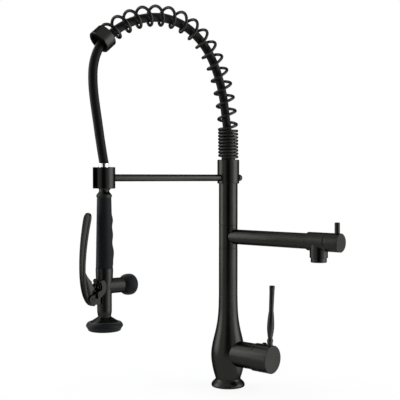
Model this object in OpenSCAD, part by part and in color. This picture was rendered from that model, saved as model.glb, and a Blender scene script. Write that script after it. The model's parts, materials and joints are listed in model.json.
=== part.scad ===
// Pre-rinse kitchen faucet: a spring-neck mixer with a swivel pot spout and a trigger sprayer.
// Millimetres. +Z is up, the origin is the middle of the base underside, on the deck.
// The sprayer and its riser reach out along -Y. The handle and the spout point to the side.

/* [Base and body] */
// Diameter of the flange on the deck
flange_d = 50; // [46:1:58]
// Height of the flange
flange_h = 11.2; // [8:0.2:14]
// Diameter of the body where it meets the flange
foot_d = 37.4; // [35:0.2:42]
// Widest diameter of the body's belly
belly_d = 51; // [46:0.5:58]
// Height of the belly above the deck
belly_z = 46; // [42:1:50]
// How fast the belly falls away above its widest point
belly_fall = 40; // [34:1:44]
// Height of the body above the deck
body_h = 136; // [120:1:150]
// Outer diameter of the column
column_d = 28; // [27:0.2:32]
// Inner diameter of the body and the lower column
core_bore_d = 24; // [23:0.1:24.5]
// Diameter of the brass block at the hose inlets
block_d = 30; // [29:0.2:31]
// Height of the brass block
block_h = 20; // [18:0.5:24]
// Thickness of the rubber ring under the flange
gasket_t = 1.5; // [1:0.1:2.5]
// Outer diameter of the rubber ring under the flange
gasket_d = 45; // [42:0.5:46]
// Width of the rubber ring
gasket_w = 4.5; // [3:0.5:6]
// Tapping diameter of the two hose inlets
inlet_d = 9; // [8:0.1:9.5]
// Depth of the hose inlets
inlet_depth = 12; // [10:0.5:14]
// Tapping diameter of the hole for the fixing stud
stud_hole_d = 6.8; // [5:0.1:7]
// Depth of the stud hole
stud_depth = 14; // [10:0.5:16]

/* [Column and swivel] */
// Height of the lower column tube
lower_column_h = 70; // [60:1:90]
// Height of the ring that carries the spout
hub_h = 34; // [30:0.5:40]
// Visible height of the upper column tube
upper_column_h = 61; // [50:1:90]
// Diameter of the brass spindle inside the spout ring
spindle_d = 22; // [20:0.2:22.4]
// Thickness of each slip washer at the spout ring
slip_washer_t = 0.4; // [0.3:0.1:0.8]
// Section diameter of the swivel O-rings
oring_t = 2; // [1.6:0.1:2.2]
// Bore of the water way in the column
waterway_d = 10; // [8:0.5:12]

/* [Handle] */
// Angle of the handle and the spout behind the +X axis
side_turn = 16; // [0:1:30]
// Height of the handle axis above the deck
handle_z = 50; // [46:0.5:56]
// Diameter of the barrel that holds the cartridge
barrel_d = 38; // [36:0.5:40]
// Distance from the column axis to the end of the barrel
barrel_reach = 51; // [49:0.5:56]
// Diameter of the handle cap
cap_d = 40.6; // [40.4:0.2:44]
// Length of the handle cap
cap_len = 30; // [28:0.5:33]
// Diameter of the cartridge
cartridge_d = 28; // [26:0.2:30]
// Diameter of the turning carrier in the cartridge
carrier_d = 18; // [16:0.2:18.4]
// Diameter of the cross pin in the carrier
tilt_pin_d = 3; // [2.5:0.1:3.5]
// Length of the lever above its seat on the cap
lever_len = 87.7; // [70:0.1:100]
// How far the lever leans outwards
lever_lean = 2.4; // [0:0.2:6]
// Diameter of the lever's swelling
lever_bulb_d = 10.3; // [9:0.2:12]
// Diameter of the lever's slim part
lever_slim_d = 6.7; // [6:0.1:8]

/* [Spout] */
// Outer diameter of the spout tube
spout_d = 22; // [20:0.2:23]
// Wall of the spout tube
spout_wall = 1.5; // [1:0.1:2]
// Distance from the column axis to the tee
tee_start = 140.5; // [120:0.5:180]
// Length of the tee body
tee_len = 29.2; // [27:0.2:34]
// Diameter of the tee body and the knob
tee_d = 25.8; // [25:0.2:28]
// Diameter of the branch that points down
branch_d = 25; // [24:0.2:26]
// Length of the branch below the spout axis
branch_len = 21.7; // [19:0.1:26]
// Diameter of the aerator
aerator_d = 22; // [21.4:0.1:23]
// Visible length of the aerator
aerator_h = 6.5; // [5:0.5:9]
// Length of the shut-off knob
knob_len = 22; // [20:0.5:26]
// Diameter of the pin on the knob
knob_pin_d = 7.2; // [6:0.2:8]
// How far the pin stands out of the knob
knob_pin_rise = 14.4; // [10:0.2:20]

/* [Riser] */
// Diameter of the collar on the column
collar_d = 32.6; // [31.8:0.2:36]
// Height of the collar
collar_h = 35.4; // [32:0.2:42]
// Distance from the column axis to the sprayer axis
sprayer_reach = 206.5; // [196:0.5:216]
// Diameter of the arm rod
arm_d = 9.8; // [8:0.1:11]
// Height of the arm above the bottom of the collar
arm_rise = 8.5; // [7.5:0.1:12]
// Diameter of the ball on the collar screw
collar_ball_d = 10; // [8:0.2:12]
// Diameter of the spring wire
wire_d = 4.3; // [3.4:0.1:4.4]
// Diameter of the spring, to the middle of the wire
coil_d = 26.1; // [25.6:0.1:26.4]
// Distance between the turns at the foot of the spring
foot_pitch = 4.8; // [4.4:0.1:5.4]
// Height of the closely wound foot of the spring
foot_h = 46; // [40:1:52]
// Number of open turns along the arch
open_turns = 15.8; // [12:0.1:20]
// Rise of the arch's shoulders above the closely wound foot
arch_lift = 179; // [168:1:190]
// Height of the arch's end above the closely wound foot
arch_end_rise = 116.5; // [108:0.5:126]
// Diameter of the cap on the end of the spring
spring_cap_d = 32.7; // [32.4:0.1:35]
// Length of the cap on the end of the spring
spring_cap_len = 17; // [16:0.5:22]
// Diameter of the docking holder
holder_d = 30.2; // [28:0.2:34]
// Height of the docking holder
holder_h = 28.8; // [24:0.2:34]
// Width of the slot in the docking holder
holder_slot = 14.6; // [14.4:0.1:15.4]
// Wall of the plastic liner in the holder
liner_t = 4; // [3:0.1:4.4]
// Diameter of the spray hose
hose_d = 12.6; // [11:0.2:13]

/* [Sprayer] */
// Diameter of the sprayer's neck
neck_d = 13.9; // [13:0.1:14]
// Diameter of the bead under the neck
bead_d = 21.3; // [20:0.1:23]
// Distance from the underside of the holder down to the grip
grip_drop = 12.4; // [11:0.2:15]
// Length of the rubber grip
grip_h = 95; // [85:1:105]
// Diameter of the grip at the top
grip_top_d = 19.5; // [18.5:0.1:22]
// Diameter of the grip at the bottom
grip_foot_d = 23; // [21:0.2:25]
// Height of the finger ridges on the grip
ridge_rise = 2.2; // [0.5:0.1:2.5]
// Length of the valve body
valve_h = 65.5; // [62:0.5:72]
// Diameter of the valve body at its foot
valve_d = 19.9; // [19.4:0.1:22]
// Diameter of the valve body under the grip
valve_top_d = 23.6; // [22:0.2:25]
// Height of the stem axis above the foot of the valve body
stem_rise = 41; // [39:0.5:43]
// Diameter of the side tube
side_tube_d = 20.7; // [20:0.1:22]
// Length of the side tube from the sprayer axis
side_tube_len = 44.5; // [43:0.5:52]
// Diameter of the rubber cap on the side tube
side_cap_d = 29.2; // [28:0.2:33]
// Diameter of the rubber bumper round the spray face
bumper_d = 50; // [46:0.5:56]
// Height of the bumper
bumper_h = 11.7; // [11:0.1:16]
// Diameter of the perforated spray face
face_d = 30; // [26:0.5:32]
// Diameter of one spray hole
jet_d = 1.6; // [1.2:0.1:2]

/* [Trigger] */
// Distance from the sprayer axis out to the trigger pivot
pivot_out = 20.5; // [20:0.1:23]
// Height of the trigger pivot below the stem axis
pivot_drop = 15.5; // [14.5:0.5:17]
// Diameter of the pivot pin
pivot_pin_d = 4.6; // [4:0.1:5]
// Thickness of the trigger strip
strip_t = 4.2; // [3:0.1:5]
// Width of the trigger strip at its foot
strip_foot_w = 10.8; // [10:0.2:12]
// Width of the trigger strip near its tip
strip_tip_w = 18; // [14:0.2:20]
// Height of the trigger tip above the pivot
trigger_h = 115.3; // [104:0.1:122]
// How far out the trigger's curve is drawn from the pivot
strip_belly = 17; // [15:0.1:20]
// Diameter of the valve stem
stem_d = 6; // [5:0.1:6.4]

/* [Hidden] */

$fn = 64;
hull_fn = 32;
// Clearance round a part that is pushed or screwed into another
snug = 0.04;
// Radial clearance of a part that turns or slides in another
running = 0.05;
// Gap between faces that pass each other
free_gap = 0.3;
// Play under a part that turns on a flat face
play = 0.1;
// Overshoot of a cut past the faces it opens
over = 1;

black = "#1b1b1a";
rubber_black = "#161719";
brass = "#b59a52";
steel = "#b8bbbf";
white_plastic = "#e4e4e0";
ceramic = "#d9d4c8";

column_r = column_d / 2;
core_r = core_bore_d / 2;
block_r = block_d / 2;
spindle_r = spindle_d / 2;
waterway_r = waterway_d / 2;

// Heights up the column
lower_column_top = body_h + lower_column_h;
hub_z = lower_column_top + slip_washer_t + play;
hub_top = hub_z + hub_h;
upper_column_z = hub_top + slip_washer_t + play;
collar_z = upper_column_z + upper_column_h + free_gap;
collar_top = collar_z + collar_h;
collar_plate_t = 8;
collar_plate_z = collar_top - collar_plate_t;
column_top = collar_plate_z - free_gap;
spout_z = hub_z + hub_h / 2;
arm_z = collar_z + arm_rise;

// ---------- Shapes that repeat ----------

module ring(h, r_out, r_in) {
    rotate_extrude() translate([r_in, 0]) square([r_out - r_in, h]);
}

// A disc or ring whose two outer edges are chamfered
module soft_ring(h, r_out, r_in, edge) {
    rotate_extrude() polygon([[r_in, 0], [r_out - edge, 0], [r_out, edge],
                              [r_out, h - edge], [r_out - edge, h], [r_in, h]]);
}

// Stands a part that is built along +Z on the side axis, reaching out from the column
module to_side(reach, z) {
    rotate([0, 0, side_turn]) translate([reach, 0, z]) rotate([0, 90, 0]) children();
}

// The side axis seen from the column: x is outwards and z is up
module side_frame(reach, z) {
    rotate([0, 0, side_turn]) translate([reach, 0, z]) children();
}

// Stands a part that is built along +Z along +Y of the sprayer, at the height of the valve stem
module along_stem(y) {
    translate([0, y - sprayer_reach, stem_z]) rotate([-90, 0, 0]) children();
}

module at_sprayer(z) {
    translate([0, -sprayer_reach, z]) children();
}

// A flat outline of [y, z] points, drawn as a plate across X at the sprayer axis
module across(width) {
    at_sprayer(0) translate([-width / 2, 0, 0]) rotate([90, 0, 90])
        linear_extrude(width) children();
}

// Heights and radii joined by smooth steps
function eased(stations, steps) = [
    for (i = [0 : len(stations) - 2], k = [0 : steps - 1])
        let (t = k / steps, w = (1 - cos(180 * t)) / 2)
        [stations[i][0] + (stations[i + 1][0] - stations[i][0]) * t,
         stations[i][1] + (stations[i + 1][1] - stations[i][1]) * w],
    stations[len(stations) - 1]
];

function bezier(p, t) = pow(1 - t, 3) * p[0] + 3 * pow(1 - t, 2) * t * p[1]
    + 3 * (1 - t) * t * t * p[2] + pow(t, 3) * p[3];

// Joins a list of equal rings of points into one closed solid
module loft(rings) {
    n = len(rings[0]);
    m = len(rings);
    polyhedron(
        points = [for (r = rings) each r],
        faces = concat(
            [[for (i = [0 : n - 1]) i]],
            [for (j = [0 : m - 2], i = [0 : n - 1]) [j * n + i, (j + 1) * n + i, j * n + (i + 1) % n]],
            [for (j = [0 : m - 2], i = [0 : n - 1])
                [j * n + (i + 1) % n, (j + 1) * n + i, (j + 1) * n + (i + 1) % n]],
            [[for (i = [n - 1 : -1 : 0]) (m - 1) * n + i]]
        )
    );
}

function unit(v) = v / norm(v);

// ---------- Base and body ----------

flange_r = flange_d / 2;
foot_r = foot_d / 2;
gasket_r = gasket_d / 2;
barrel_r = barrel_d / 2;
flange_lip = flange_h * 0.1;

// Outer edge of the flange: a thin lip at the deck, then a bell-shaped sweep in to the foot of the body
flange_edge = [
    [flange_r - 0.35, 0],
    for (i = [0 : 14]) let (t = i / 14)
        [foot_r + (flange_r - foot_r) * (1 + cos(180 * pow(t, 1.3))) / 2,
         flange_lip + (flange_h - flange_lip) * t]
];

module deck_gasket() {
    color(rubber_black) ring(gasket_t, gasket_r, gasket_r - gasket_w);
}

module base_flange() {
    color(black) difference() {
        rotate_extrude() polygon(concat([[block_r + snug, 0]], flange_edge,
                                        [[block_r + snug, flange_h]]));
        translate([0, 0, -over]) ring(gasket_t + over, gasket_r + snug, gasket_r - gasket_w - snug);
    }
}

inlet_out = 7;
stud_back = 10;
port_d = 5;
port_out = 6.5;
// Where the cartridge's ports lie round its axis: hot, mixed and cold
port_angles = [60, 180, 300];
channel_out = port_out * sin(port_angles[0]);
channel_top = handle_z - port_out * cos(port_angles[0]) + port_d / 2;

// The upright water ways from the hot and cold inlets to the cartridge's ports
module channels(from) {
    for (side = [-1, 1]) rotate([0, 0, side_turn]) translate([0, side * channel_out, from])
        cylinder(h = channel_top - from, d = port_d);
}

module inlet_block() {
    color(brass) difference() {
        cylinder(h = block_h, r = block_r);
        for (side = [-1, 1]) rotate([0, 0, side_turn]) translate([0, side * inlet_out, -over])
            cylinder(h = inlet_depth + over, d = inlet_d);
        rotate([0, 0, side_turn]) translate([-stud_back, 0, -over])
            cylinder(h = stud_depth + over, d = stud_hole_d);
        channels(inlet_depth - over);
    }
}

// Radius of the body at a height: it swells from the foot to the belly, then falls to the column
function belly_r(z) = z < belly_z
    ? foot_r + (belly_d / 2 - foot_r) * (1 - pow((belly_z - z) / (belly_z - flange_h), 1.7))
    : column_r + (belly_d / 2 - column_r) * exp(-pow((z - belly_z) / belly_fall, 2));

body_step = (body_h - flange_h) / 30;
body_edge = [for (i = [0 : 29]) [belly_r(flange_h + i * body_step), flange_h + i * body_step],
             [column_r, body_h]];

cartridge_r = cartridge_d / 2;
pocket_start = core_r + 6;

// Three water ways between the core and the cartridge
module ports(from, to) {
    for (a = port_angles) to_side(from, handle_z)
        translate([port_out * cos(a), port_out * sin(a), 0]) cylinder(h = to - from, d = port_d);
}

module faucet_body() {
    color(black) difference() {
        union() {
            rotate_extrude() polygon(concat([[0, flange_h]], body_edge, [[0, body_h]]));
            to_side(0, handle_z) cylinder(h = barrel_reach, r = barrel_r);
        }
        translate([0, 0, flange_h - over]) cylinder(h = body_h, r = core_r);
        translate([0, 0, flange_h - over]) cylinder(h = block_h - flange_h + over, r = block_r + snug);
        to_side(pocket_start, handle_z) cylinder(h = barrel_reach, r = cartridge_r);
        ports(core_r - over, pocket_start + over);
        to_side(0, handle_z) button_place() cylinder(h = barrel_r, d = button_d + 2 * snug);
    }
}

module waterway_core() {
    mixed_z = handle_z + port_out;
    color(brass) difference() {
        translate([0, 0, block_h]) cylinder(h = core_len, r = core_r - snug);
        translate([0, 0, mixed_z - port_d / 2]) cylinder(h = core_len, r = waterway_r);
        channels(block_h - over);
        ports(0, core_r + over);
    }
}

core_len = body_h + lower_column_h / 2 - block_h;

module lower_column() {
    color(black) translate([0, 0, body_h]) ring(lower_column_h, column_r, core_r);
}

// ---------- Swivel ----------

groove_r = spindle_r - oring_t;
oring_z = [hub_z + hub_h / 5, hub_top - hub_h / 5];
groove_h = oring_t + 0.4;
spindle_seat = 12;
spindle_z = block_h + core_len;
spindle_top = upper_column_z + 20;
spout_port_d = 9;

module swivel_spindle() {
    color(brass) difference() {
        union() {
            translate([0, 0, spindle_z]) ring(lower_column_top - spindle_z, core_r - snug, waterway_r);
            translate([0, 0, lower_column_top])
                ring(spindle_top - lower_column_top, spindle_r, waterway_r);
        }
        for (z = oring_z) translate([0, 0, z - groove_h / 2])
            ring(groove_h, spindle_r + over, groove_r);
        to_side(0, spout_z) cylinder(h = spindle_r + over, d = spout_port_d);
    }
}

module swivel_washers() {
    color(rubber_black) for (z = [lower_column_top, upper_column_z - slip_washer_t])
        translate([0, 0, z]) ring(slip_washer_t, column_r - 0.5, spindle_r + snug);
}

module swivel_orings() {
    color(rubber_black) for (z = oring_z) translate([0, 0, z])
        rotate_extrude() translate([groove_r + oring_t / 2 + snug, 0])
            circle(d = oring_t - 2 * snug, $fn = 24);
}

module upper_column() {
    color(black) translate([0, 0, upper_column_z])
        ring(column_top - upper_column_z, column_r, spindle_r + snug);
}

hose_nut_r = 9.5;
hose_nut_top = column_top - 0.5;
// The hose's foot stands in the nut, on the fitting below it
hose_foot_depth = 8;
hose_nut_z = hose_nut_top - hose_foot_depth;

module top_fitting() {
    color(brass) translate([0, 0, spindle_top])
        ring(hose_nut_z - spindle_top, spindle_r, waterway_r);
}

module hose_nut() {
    color(brass) translate([0, 0, hose_nut_z])
        ring(hose_foot_depth, hose_nut_r, hose_r + running);
}

// ---------- Handle and cartridge ----------

nut_len = 5;
cartridge_end = barrel_reach - nut_len - 1;
tilt_reach = cartridge_end - 4;
carrier_r = carrier_d / 2;
carrier_start = cartridge_end - 12;
slot_w = 6.4;
blade_w = 6;
blade_h = 7;
blade_start = tilt_reach - 5;
cap_r = cap_d / 2;
cap_start = barrel_reach + free_gap;
cap_end = cap_start + cap_len;
skirt_r = barrel_r + 0.35;
cap_hollow = cap_len * 0.6;
boss_r = 8;
boss_start = cap_start + 3.7;
stem_end = cap_end - 2.5;

module mixer_cartridge() {
    color(white_plastic) difference() {
        to_side(pocket_start, handle_z)
            cylinder(h = cartridge_end - pocket_start, r = cartridge_r - snug);
        to_side(carrier_start - play, handle_z)
            cylinder(h = cartridge_end, r = carrier_r + running);
        ports(pocket_start - over, carrier_start);
    }
}

module cartridge_nut() {
    color(brass) to_side(cartridge_end, handle_z)
        ring(nut_len, cartridge_r - snug, carrier_r + 0.5);
}

module cartridge_carrier() {
    color(ceramic) difference() {
        to_side(carrier_start, handle_z) cylinder(h = cartridge_end - carrier_start, r = carrier_r);
        side_frame(blade_start - 1.5, handle_z) translate([0, -slot_w / 2, -carrier_r - over])
            cube([carrier_start + 15, slot_w, 2 * (carrier_r + over)]);
        side_frame(tilt_reach, handle_z) rotate([90, 0, 0])
            cylinder(h = 2 * carrier_r + 2 * over, d = tilt_pin_d + 2 * snug, center = true);
    }
}

module tilt_pin() {
    color(steel) side_frame(tilt_reach, handle_z) rotate([90, 0, 0])
        cylinder(h = 2 * carrier_r - 2.5, d = tilt_pin_d, center = true);
}

module cartridge_stem() {
    color(steel) difference() {
        side_frame(blade_start, handle_z) translate([0, -blade_w / 2, -blade_h / 2])
            cube([stem_end - blade_start, blade_w, blade_h]);
        side_frame(tilt_reach, handle_z) rotate([90, 0, 0])
            cylinder(h = blade_w + 2 * over, d = tilt_pin_d + 2 * running, center = true);
    }
}

lever_reach = cap_end - 5.2;
lever_seat = handle_z + cap_r - 1.5;
lever_foot_r = 4.3;
stud_r = 3;
lever_stud_len = 8;
screw_reach = cap_start + cap_len * 0.51;
screw_r = 2;
cover_d = 7.2;

module at_lever() {
    side_frame(lever_reach, lever_seat) rotate([0, lever_lean, 0]) children();
}

module handle_cap() {
    color(black) difference() {
        union() {
            to_side(cap_start, handle_z)
                soft_ring(cap_len, cap_r, skirt_r, 0.6);
            to_side(cap_start + cap_hollow, handle_z)
                soft_ring(cap_len - cap_hollow, cap_r - 0.1, 0, 0.5);
            to_side(boss_start, handle_z)
                cylinder(h = cap_hollow, r = boss_r);
        }
        side_frame(boss_start - over, handle_z)
            translate([0, -blade_w / 2 - snug, -blade_h / 2 - snug])
            cube([stem_end - boss_start + over + snug, blade_w + 2 * snug, blade_h + 2 * snug]);
        at_lever() cylinder(h = 2 * over + 2, r = lever_foot_r + snug);
        at_lever() translate([0, 0, -lever_stud_len - snug])
            cylinder(h = lever_stud_len + over, r = stud_r + snug);
        side_frame(screw_reach, handle_z + blade_h / 2) cylinder(h = boss_r, r = screw_r + snug);
        side_frame(screw_reach, handle_z + boss_r + over) cylinder(h = cap_r, r = screw_r + 0.4);
        side_frame(screw_reach, handle_z + cap_r - 0.8) cylinder(h = cap_r, d = cover_d + 2 * snug);
        to_side(0, handle_z) button_place() cylinder(h = 2 * cap_r, d = button_d + 2 * snug);
    }
}

// Heights and radii up the lever: a foot with a groove, a long swelling, a slim rod and a flat tip
slim_r = lever_slim_d / 2;
swell = lever_bulb_d / 2 - slim_r;
lever_edge = concat(
    [for (s = eased([[0, lever_foot_r], [0.05, lever_foot_r * 0.92], [0.091, lever_foot_r + 0.2],
                     [0.144, slim_r]], 4)) [s[1], s[0] * lever_len]],
    [for (a = [15 : 15 : 90]) [slim_r + swell * sin(a), lever_len * (0.144 + 0.182 * a / 90)]],
    [for (a = [105 : 15 : 180]) [slim_r + 0.3 + (swell - 0.3) * sin(a),
                                 lever_len * (0.326 + 0.244 * (a / 90 - 1))]],
    [for (s = eased([[0.58, slim_r], [0.8, slim_r + 0.15], [0.91, slim_r + 0.27],
                     [0.975, slim_r + 0.63]], 3)) [s[1], s[0] * lever_len]],
    [[slim_r + 0.65, lever_len - 0.7], [slim_r + 0.4, lever_len - 0.2], [slim_r, lever_len]]
);

module handle_lever() {
    color(black) at_lever() union() {
        rotate_extrude() polygon(concat([[0, 0]], lever_edge, [[0, lever_len]]));
        translate([0, 0, -lever_stud_len]) cylinder(h = lever_stud_len, r = stud_r);
    }
}

module handle_screw() {
    color(steel) side_frame(screw_reach, handle_z + blade_h / 2 + snug)
        cylinder(h = boss_r - blade_h / 2 - snug, r = screw_r);
}

module screw_cover() {
    color(black) side_frame(screw_reach, handle_z + cap_r - 0.8 + snug)
        rotate_extrude() polygon([[0, 0], [cover_d / 2, 0], [cover_d / 2, 1.6], [cover_d / 2 - 0.3, 2.3],
                                  [cover_d / 2 - 0.9, 2.9], [cover_d / 2 - 1.8, 3.3], [0, 3.6]]);
}

button_d = 4;
button_angle = 223;

// A small round place high on the near side of the cap, just past its start
module button_place() {
    translate([0, 0, cap_start + button_d / 2 + 0.7]) rotate([0, 0, button_angle]) rotate([0, 90, 0])
        translate([0, 0, skirt_r - 0.1]) children();
}

module index_button() {
    color(black) to_side(0, handle_z) button_place() rotate_extrude()
        polygon([[0, 0.2], [button_d / 2, 0.2], [button_d / 2, 1.4], [button_d / 2 - 0.5, 1.8], [0, 1.8]]);
}

// ---------- Spout ----------

spout_r = spout_d / 2;
tee_r = tee_d / 2;
branch_r = branch_d / 2;
tee_end = tee_start + tee_len;
branch_reach = tee_start + 16.5;
socket_len = 8;
spout_end = tee_start + socket_len;
outlet_bore_r = 6;
head_bore_r = 8.5;
head_start = branch_reach + outlet_bore_r + 1;
thread_r = branch_r - 2.5;
thread_len = 7.5;

module spout_hub() {
    color(black) difference() {
        translate([0, 0, hub_z]) ring(hub_h, column_r - 0.1, spindle_r + running);
        to_side(0, spout_z) cylinder(h = column_r + over, d = spout_port_d);
    }
}

module spout_tube() {
    color(black) difference() {
        to_side(0, spout_z) ring(spout_end, spout_r, spout_r - spout_wall);
        translate([0, 0, hub_z - over]) cylinder(h = hub_h + 2 * over, r = column_r - 0.1 + snug);
    }
}

module spout_tee() {
    color(black) difference() {
        union() {
            to_side(tee_start, spout_z) soft_ring(tee_len, tee_r, 0, 0.6);
            side_frame(branch_reach, spout_z - branch_len) cylinder(h = branch_len, r = branch_r);
        }
        to_side(tee_start - over, spout_z) cylinder(h = socket_len + over, r = spout_r + snug);
        to_side(tee_start, spout_z) cylinder(h = tee_len, r = outlet_bore_r);
        to_side(head_start, spout_z) cylinder(h = tee_len, r = head_bore_r + snug);
        side_frame(branch_reach, spout_z - branch_len - over)
            cylinder(h = branch_len + over, r = outlet_bore_r);
        side_frame(branch_reach, spout_z - branch_len - over)
            cylinder(h = thread_len + over, r = thread_r + snug);
    }
}

knob_start = tee_end + free_gap;
knob_end = knob_start + knob_len;
knob_cavity = 8;
shaft_r = 3;
knob_pin_reach = knob_end - 6.3;
knob_pin_foot = 5;

module shutoff_gland() {
    color(brass) to_side(head_start, spout_z) ring(tee_end - head_start, head_bore_r, shaft_r + running);
}

plug_start = branch_reach - 6.5;
plug_bore_r = 4;

// A hollow plug that turns in the tee: its side hole opens or closes the way to the outlet
module shutoff_plug() {
    color(brass) difference() {
        union() {
            to_side(plug_start, spout_z)
                cylinder(h = head_start - plug_start - play, r = outlet_bore_r - running);
            to_side(plug_start + over, spout_z)
                cylinder(h = knob_end - 4 - plug_start - over, r = shaft_r);
        }
        to_side(plug_start - over, spout_z)
            cylinder(h = branch_reach + plug_bore_r - plug_start + over, r = plug_bore_r);
        side_frame(branch_reach, spout_z - outlet_bore_r - over)
            cylinder(h = outlet_bore_r + over, r = plug_bore_r);
    }
}

module shutoff_knob() {
    color(black) difference() {
        to_side(knob_start, spout_z) soft_ring(knob_len, tee_r, 0, 0.6);
        to_side(knob_start - over, spout_z) cylinder(h = knob_cavity + over, r = tee_r - 2);
        to_side(knob_start, spout_z) cylinder(h = knob_len - 4 + snug, r = shaft_r + snug);
        side_frame(knob_pin_reach, spout_z + knob_pin_foot)
            cylinder(h = tee_r, d = knob_pin_d + 2 * snug);
        side_frame(knob_pin_reach, spout_z - tee_r - over) cylinder(h = tee_r, r = 1.5 + snug);
    }
}

module knob_pin() {
    pin_len = tee_r + knob_pin_rise - knob_pin_foot;
    color(black) side_frame(knob_pin_reach, spout_z + knob_pin_foot + snug)
        rotate_extrude() polygon([[0, 0], [knob_pin_d / 2, 0], [knob_pin_d / 2, pin_len - 0.6],
                                  [knob_pin_d / 2 - 0.6, pin_len], [0, pin_len]]);
}

module knob_screw() {
    color(steel) side_frame(knob_pin_reach, spout_z - tee_r + 0.5)
        cylinder(h = tee_r - shaft_r - 0.5 - snug, r = 1.5);
}

branch_z = spout_z - branch_len;
aerator_z = branch_z - aerator_h;
insert_r = aerator_d / 2 - 2;

module aerator_housing() {
    color(black) side_frame(branch_reach, aerator_z) difference() {
        union() {
            soft_ring(aerator_h, aerator_d / 2, 0, 0.4);
            cylinder(h = aerator_h + 5, r = thread_r);
        }
        translate([0, 0, 1]) cylinder(h = aerator_h + 5, r = insert_r - 0.5 + snug);
        translate([0, 0, -over]) cylinder(h = aerator_h, r = insert_r - 1.5);
    }
}

// The plastic insert, with a ring of holes and a middle hole for the water
module aerator_insert() {
    color(white_plastic) side_frame(branch_reach, aerator_z + 1) difference() {
        cylinder(h = aerator_h + 2, r = insert_r - 0.5);
        translate([0, 0, -over]) cylinder(h = aerator_h + 4, d = 3);
        for (a = [0 : 45 : 315]) rotate([0, 0, a]) translate([insert_r * 0.55, 0, -over])
            cylinder(h = aerator_h + 4, d = 2.4);
    }
}

module aerator_washer() {
    color(rubber_black) side_frame(branch_reach, branch_z + 5 + snug)
        ring(thread_len - 5 - 2 * snug, thread_r, outlet_bore_r);
}

// ---------- Riser ----------

collar_r = collar_d / 2;
hose_r = hose_d / 2;
spigot_r = coil_d / 2 - wire_d / 2 - 0.7;
spigot_h = foot_h * 0.73;
plate_bore_r = hose_r + 1.4;
arm_r = arm_d / 2;
ball_r = collar_ball_d / 2;
ball_neck_r = 2.5;
ball_reach = collar_r + ball_r - 1.2;

module riser_collar() {
    color(black) difference() {
        union() {
            translate([0, 0, collar_z]) soft_ring(collar_h, collar_r, plate_bore_r, 0.6);
            translate([0, 0, collar_top]) ring(spigot_h, spigot_r, plate_bore_r);
        }
        translate([0, 0, collar_z - over])
            cylinder(h = collar_plate_z - collar_z + over, r = column_r + running);
        translate([0, 0, arm_z]) rotate([90, 0, 0]) cylinder(h = collar_r + over, r = arm_r + snug);
        translate([0, 0, arm_z]) rotate([-90, 0, 0])
            cylinder(h = collar_r + over, r = ball_neck_r + snug);
        translate([0, ball_reach, arm_z]) sphere(r = ball_r + play);
    }
}

module collar_screw() {
    color(black) translate([0, 0, arm_z]) rotate([-90, 0, 0]) union() {
        translate([0, 0, column_r + free_gap]) cylinder(h = 4, r = ball_neck_r);
        translate([0, 0, ball_reach]) sphere(r = ball_r);
    }
}

module arm_rod() {
    arm_start = column_r + free_gap;
    color(black) translate([0, -arm_start, arm_z]) rotate([90, 0, 0])
        cylinder(h = sprayer_reach - liner_r - snug - arm_start, r = arm_r);
}

// The spring: a closely wound foot that stands on the collar, then open turns along the arch
coil_r = coil_d / 2;
wire_r = wire_d / 2;
spring_z = collar_top + wire_r + 0.2;
arch_z = collar_top + foot_h;
arch_shift = 0.5;
arch_end = sprayer_reach - 2.5;
arch = [[arch_shift, arch_z], [arch_end * 0.064, arch_z + arch_lift],
        [arch_end * 0.668, arch_z + arch_lift - 1], [arch_end, arch_z + arch_end_rise]];
arch_steps = 100;
arch_points = [for (i = [0 : arch_steps]) bezier(arch, i / arch_steps)];
arch_lengths = [
    for (i = 0, s = 0; i <= arch_steps;
         s = s + (i < arch_steps ? norm(arch_points[i + 1] - arch_points[i]) : 0), i = i + 1) s
];
arch_len = arch_lengths[arch_steps];
arch_table = [for (i = [0 : arch_steps]) [arch_lengths[i], i / arch_steps]];
wound_h = arch_z - spring_z;
spring_len = wound_h + arch_len;
open_pitch = arch_len / open_turns;
arch_phase = 225;

// A point of the spring's centre line at a length along it, as [reach, height]
function spring_at(s) = s < wound_h
    ? [arch_shift * s / wound_h, spring_z + s]
    : bezier(arch, lookup(s - wound_h, arch_table));
function spring_way(s) = unit(spring_at(s + 0.5) - spring_at(s - 0.5));
function spring_turn(s) = arch_phase
    + 360 * (s - wound_h) / (s < wound_h ? foot_pitch : open_pitch);

// One ring of the wire: `out` points away from the centre line, `way` along the wire
function wire_ring(s, sides) =
    let (
        p = spring_at(s), w = spring_way(s), turn = spring_turn(s),
        outward = [0, w[1], w[0]],
        out = cos(turn) * outward - sin(turn) * [1, 0, 0],
        centre = [0, -p[0], p[1]],
        pitch = s < wound_h ? foot_pitch : open_pitch,
        round_way = -sin(turn) * outward - cos(turn) * [1, 0, 0],
        way = unit(2 * PI * coil_r * round_way + pitch * [0, -w[0], w[1]]),
        third = cross(way, out)
    )
    [for (k = [0 : sides - 1]) centre + coil_r * out
        + wire_r * (cos(360 * k / sides) * out + sin(360 * k / sides) * third)];

spring_sides = 6;
segments_per_turn = 18;

module riser_spring() {
    foot_segments = round(wound_h / foot_pitch * segments_per_turn);
    open_segments = round(open_turns * segments_per_turn);
    stations = concat(
        [for (i = [0 : foot_segments - 1]) wound_h * i / foot_segments],
        [for (i = [0 : open_segments]) wound_h + (arch_len - 0.6) * i / open_segments]
    );
    color(black) loft([for (s = stations) wire_ring(s, spring_sides)]);
}

cap_way = unit(arch[3] - arch[2]);
spring_cap_r = spring_cap_d / 2;
cap_seat = 3.5;
cap_mouth_r = spring_cap_r - 4;
cap_wall_r = coil_r + wire_r + 0.2;
cap_step = 12;

// Stands a part on the end of the arch, with +Z along the way the hose leaves
module at_arch_end(back) {
    translate([0, -arch[3][0] + back * cap_way[0], arch[3][1] - back * cap_way[1]])
        rotate([90 - atan2(cap_way[1], cap_way[0]), 0, 0]) children();
}

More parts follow.
